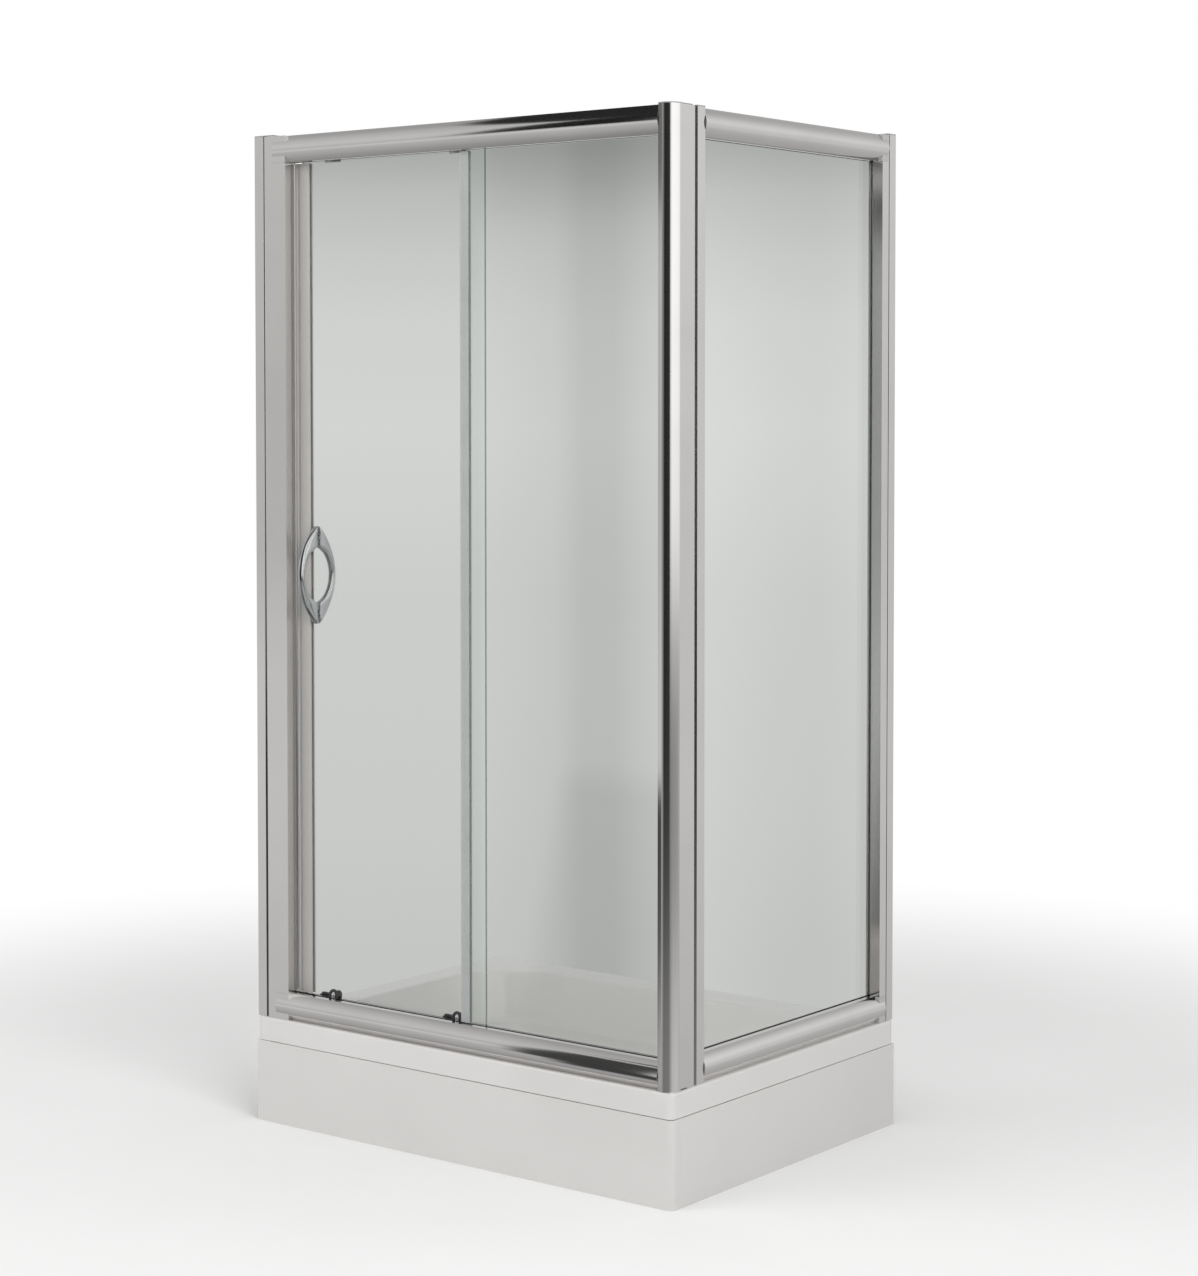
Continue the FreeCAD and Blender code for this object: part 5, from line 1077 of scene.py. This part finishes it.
class World:
    """White to the camera, grey behind glass, and a soft studio with a dark side to polished metal."""

    # Brightness by the bearing of a reflection, for level, lower and low ones.
    LEVEL: Stops = (
        (0.0, 0.80), (0.052, 0.88), (0.10, 1.10), (0.125, 1.3), (0.15, 1.75), (0.33, 1.90), (0.375, 1.4),
        (0.395, 0.05), (0.53, 0.03), (0.565, 0.4), (0.60, 0.85), (0.67, 1.0), (0.75, 0.92), (1.0, 0.80))
    LOWER: Stops = (
        (0.0, 1.0), (0.111, 1.15), (0.139, 0.7), (0.194, 0.5), (0.375, 0.36), (0.394, 0.05), (0.54, 0.03),
        (0.569, 0.7), (0.6, 1.2), (0.7, 1.1), (1.0, 1.0))
    LOW: Stops = (
        (0.0, 1.0), (0.111, 1.0), (0.139, 1.0), (0.17, 1.25), (0.31, 1.2), (0.36, 0.8), (0.394, 0.5),
        (0.54, 0.45), (0.569, 0.7), (0.6, 1.0), (1.0, 1.0))
    # Where the three run into each other: how far down a reflection looks.
    LEVEL_TO_LOWER = (-0.04, -0.11)
    LOWER_TO_LOW = (-0.14, -0.26)
    # Brightness by how high a reflection looks: 0 is straight down, 1 straight up.
    HEIGHTS: Stops = (
        (0.0, 0.2), (0.085, 0.25), (0.125, 0.32), (0.218, 0.42), (0.342, 0.50), (0.48, 0.58), (0.60, 0.70),
        (0.68, 0.66), (0.742, 0.60), (0.785, 0.55), (0.835, 0.48), (0.875, 0.41), (0.95, 0.38), (1.0, 0.40))
    # Brightness behind glass by height: level with the camera at 0.5.
    BEHIND_GLASS: Stops = (
        (0.0, 0.57), (0.40, 0.575), (0.426, 0.605), (0.465, 0.63), (0.484, 0.67), (0.496, 0.69),
        (0.516, 0.66), (0.5275, 0.60), (0.539, 0.51), (0.547, 0.39), (0.56, 0.29), (1.0, 0.26))
    # Brightness behind glass from left to right, over the bearings from ACROSS_START on.
    ACROSS: Stops = (
        (0.0, 1.0), (0.30, 1.0), (0.38, 0.95), (0.435, 0.91), (0.475, 0.80), (0.52, 0.80), (0.57, 0.92),
        (0.66, 1.06), (0.76, 0.99), (0.82, 0.97), (0.93, 1.05), (1.0, 1.0))
    ACROSS_START = 0.8753
    ACROSS_WIDTH = 0.04
    GLASS_COLOUR: Colour = (0.985, 1.0, 0.985)
    AMBIENT = 0.60
    AMBIENT_INSIDE = 0.52

    def build(self) -> None:
        """Builds the world's tree."""
        world = bpy.data.worlds.new("studio")
        bpy.context.scene.world = world
        sky = Tree(world, "ShaderNodeOutputWorld")
        way = sky.parts(sky.node("ShaderNodeTexCoord").outputs["Generated"])
        rise = sky.maths("MULTIPLY_ADD", way[2], 0.5, 0.5)
        turn = sky.bearing(way[0], way[1])
        glazed, seen, glossy = sky.sight()
        lower = sky.mid(sky.smooth_step(way[2], *self.LEVEL_TO_LOWER), sky.curve(turn, self.LEVEL),
                        sky.curve(turn, self.LOWER))
        low = sky.mid(sky.smooth_step(way[2], *self.LOWER_TO_LOW), lower, sky.curve(turn, self.LOW))
        level = sky.maths("MULTIPLY", low, sky.curve(rise, self.HEIGHTS))
        ambient = sky.mid(glazed, self.AMBIENT, self.AMBIENT_INSIDE)
        lit = sky.either(glossy, sky.light(ambient), sky.light(level))
        across = sky.maths("MULTIPLY", sky.maths("SUBTRACT", turn, self.ACROSS_START), 1 / self.ACROSS_WIDTH)
        held = sky.maths("MINIMUM", sky.maths("MAXIMUM", across, 0.0), 1.0)
        behind = sky.maths("MULTIPLY", sky.curve(rise, self.BEHIND_GLASS), sky.curve(held, self.ACROSS))
        plain = sky.either(glazed, sky.light(1.0), sky.light(behind, self.GLASS_COLOUR))
        sky.finish(sky.either(seen, lit, plain))


def backdrop(name: str, corners: tuple[Triple, ...], finish: Material) -> Piece:
    """Adds a four-sided card that isn't part of the enclosure.

    Args:
        name: its name.
        corners: its corners.
        finish: its material.

    Returns:
        The card.
    """
    mesh = bpy.data.meshes.new(name)
    mesh.from_pydata(corners, [], [(0, 1, 2, 3)])
    mesh.materials.append(finish)
    card = placed(name, mesh)
    return card


@dataclass
class Flag:
    """A dark card with soft borders that only reflections show.

    low and high are its opposite corners, which share one coordinate, and lean moves its upper or
    front edge sideways. crisp is the width of its right border, and border that of the three others.
    """

    name: str
    low: Triple
    high: Triple
    lean: float = 0.0
    shade: float = 0.02
    border: float = 0.2
    crisp: float = 0.1

    def build(self) -> None:
        """Adds the card."""
        x0, y0, z0 = self.low
        x1, y1, z1 = self.high
        lean = self.lean
        corners = ((x0, y0, z0), (x1, y0, z0), (x1 + lean, y1, z1), (x0 + lean, y1, z1))
        card = backdrop(self.name, corners, self.material())
        shares = card.data.uv_layers.new(name="card")
        for spot, share in zip(shares.data, ((0, 0), (1, 0), (1, 1), (0, 1)), strict=True):
            spot.uv = share
        for ray in ("camera", "diffuse", "shadow", "transmission"):
            setattr(card, f"visible_{ray}", False)

    def material(self) -> Material:
        """Builds the card's material, which fades to nothing at its borders.

        Returns:
            The material.
        """
        grain = Grain(self.name)
        share = grain.parts(grain.node("ShaderNodeUVMap", uv_map="card").outputs[0])
        sides = (abs(self.high[0] - self.low[0]), dist(self.low[1:], self.high[1:]))
        inside: object = 1.0
        for part, side, last in zip(share[:2], sides, (self.crisp, self.border), strict=True):
            inside = grain.maths("MULTIPLY", inside, grain.smooth_step(part, 0, self.border / side))
            inside = grain.maths("MULTIPLY", inside, grain.smooth_step(part, 1, 1 - last / side))
        return grain.done(grain.either(inside, grain.clear(), grain.light(self.shade)))


@dataclass
class Lamp:
    """One large soft lamp, aimed at the middle of the enclosure."""

    name: str
    place: Triple
    size: float
    power: float
    target: Triple = (0, 0, 1.0)

    def build(self) -> None:
        """Adds the lamp."""
        data = bpy.data.lights.new(self.name, "AREA")
        data.shape = "SQUARE"
        data.size = self.size
        data.energy = self.power
        lamp = placed(self.name, data)
        lamp.location = self.place
        lamp.rotation_euler = (Vector(self.target) - lamp.location).to_track_quat("-Z", "Y").to_euler()
        lamp.visible_glossy = False


@dataclass
class Floor:
    """A pale floor that keeps the shadow near the object and turns white further out."""

    reach: float = 30.0
    near: float = 1.3
    far: float = 3.2
    colour: Colour = (0.90, 0.90, 0.895)

    speck: float = 0.006

    def build(self) -> None:
        """Adds the floor."""
        reach = self.reach
        corners = ((-reach, -reach, 0), (reach, -reach, 0), (reach, reach, 0), (-reach, reach, 0))
        backdrop("floor", corners, self.material()).visible_glossy = False

    def material(self) -> Material:
        """Builds the floor's material: matt paper that turns white far out, and that glass looks past.

        Returns:
            The material.
        """
        grain = Grain("paper_floor")
        speck = grain.tone(grain.noise(3, 3), self.colour, self.speck)
        paper = grain.node("ShaderNodeBsdfDiffuse", {"Color": speck}).outputs[0]
        length = grain.node("ShaderNodeVectorMath", {0: grain.place}, operation="LENGTH").outputs["Value"]
        glazed, seen, _ = grain.sight()
        out = grain.maths("MAXIMUM", grain.smooth_step(length, self.near, self.far), glazed)
        glow = grain.either(glazed, grain.light(1.0), grain.clear())
        return grain.done(grain.either(grain.maths("MULTIPLY", out, seen), paper, glow))


@dataclass
class Viewpoint:
    """The camera, at the photograph's place and angle."""

    place: Triple = (3.5546, -4.5121, 1.5294)
    bearing: float = 37.71
    dip: float = 2.205
    lens: float = 76.47
    sensor: float = 36.0
    lift: float = -0.10

    def build(self) -> None:
        """Adds the camera and makes it the scene's own."""
        data = bpy.data.cameras.new("camera")
        data.lens = self.lens
        data.sensor_width = self.sensor
        data.shift_y = self.lift
        camera = placed("camera", data)
        camera.location = self.place
        camera.rotation_euler = (radians(90 - self.dip), 0, radians(self.bearing))
        bpy.context.scene.camera = camera


@dataclass
class Studio:
    """World, lamps, floor, dark cards and camera together."""

    lamps: tuple[Lamp, ...] = (
        Lamp("key_lamp", (3.6, -2.2, 3.4), 2.6, 106),
        Lamp("fill_lamp", (-2.4, -4.2, 2.8), 3.0, 77),
        Lamp("top_lamp", (0.0, 0.2, 5.2), 3.0, 10),
    )
    flags: tuple[Flag, ...] = (
        Flag("high_flag", (-1.55, -2.7, 3.4), (-0.30, 0.6, 3.4), 0.65, border=0.12),
        Flag("tall_flag", (-1.74, -2.4, 2.02), (-0.88, -2.4, 4.4), 0.0, 0.01, 0.16, 0.06),
        Flag("low_flag", (-0.02, -0.60, 0.004), (0.95, -1.1, 0.004), -0.34, 0.05, 0.12, 0.06),
        Flag("kerb_flag", (-0.42, -1.0, -0.08), (0.05, -1.0, 0.75), 0.14, 0.05, 0.10, 0.05),
    )

    def build(self) -> None:
        """Builds the studio."""
        scene = bpy.context.scene
        scene.view_settings.view_transform = "Standard"
        for part in (World(), *self.lamps, Floor(), *self.flags, Viewpoint()):
            part.build()
        log.info("built the studio: %d lamps, %d flags", len(self.lamps), len(self.flags))


def main() -> None:
    """Dresses the enclosure and builds what stands round it."""
    logging.basicConfig(level=logging.INFO, format="%(name)s: %(message)s")
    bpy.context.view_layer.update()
    dress_nodes()
    bench = Bench(lattice_recipe(), thread_recipe())
    for assembly in (Handles, RollerCaps, ProfileScrews, HangerScrews, FootThreads, ButtonRibs, RailPlugs,
                     RailSaddles):
        assembly(bench).build()
    Studio().build()


if __name__ == "__main__":
    main()
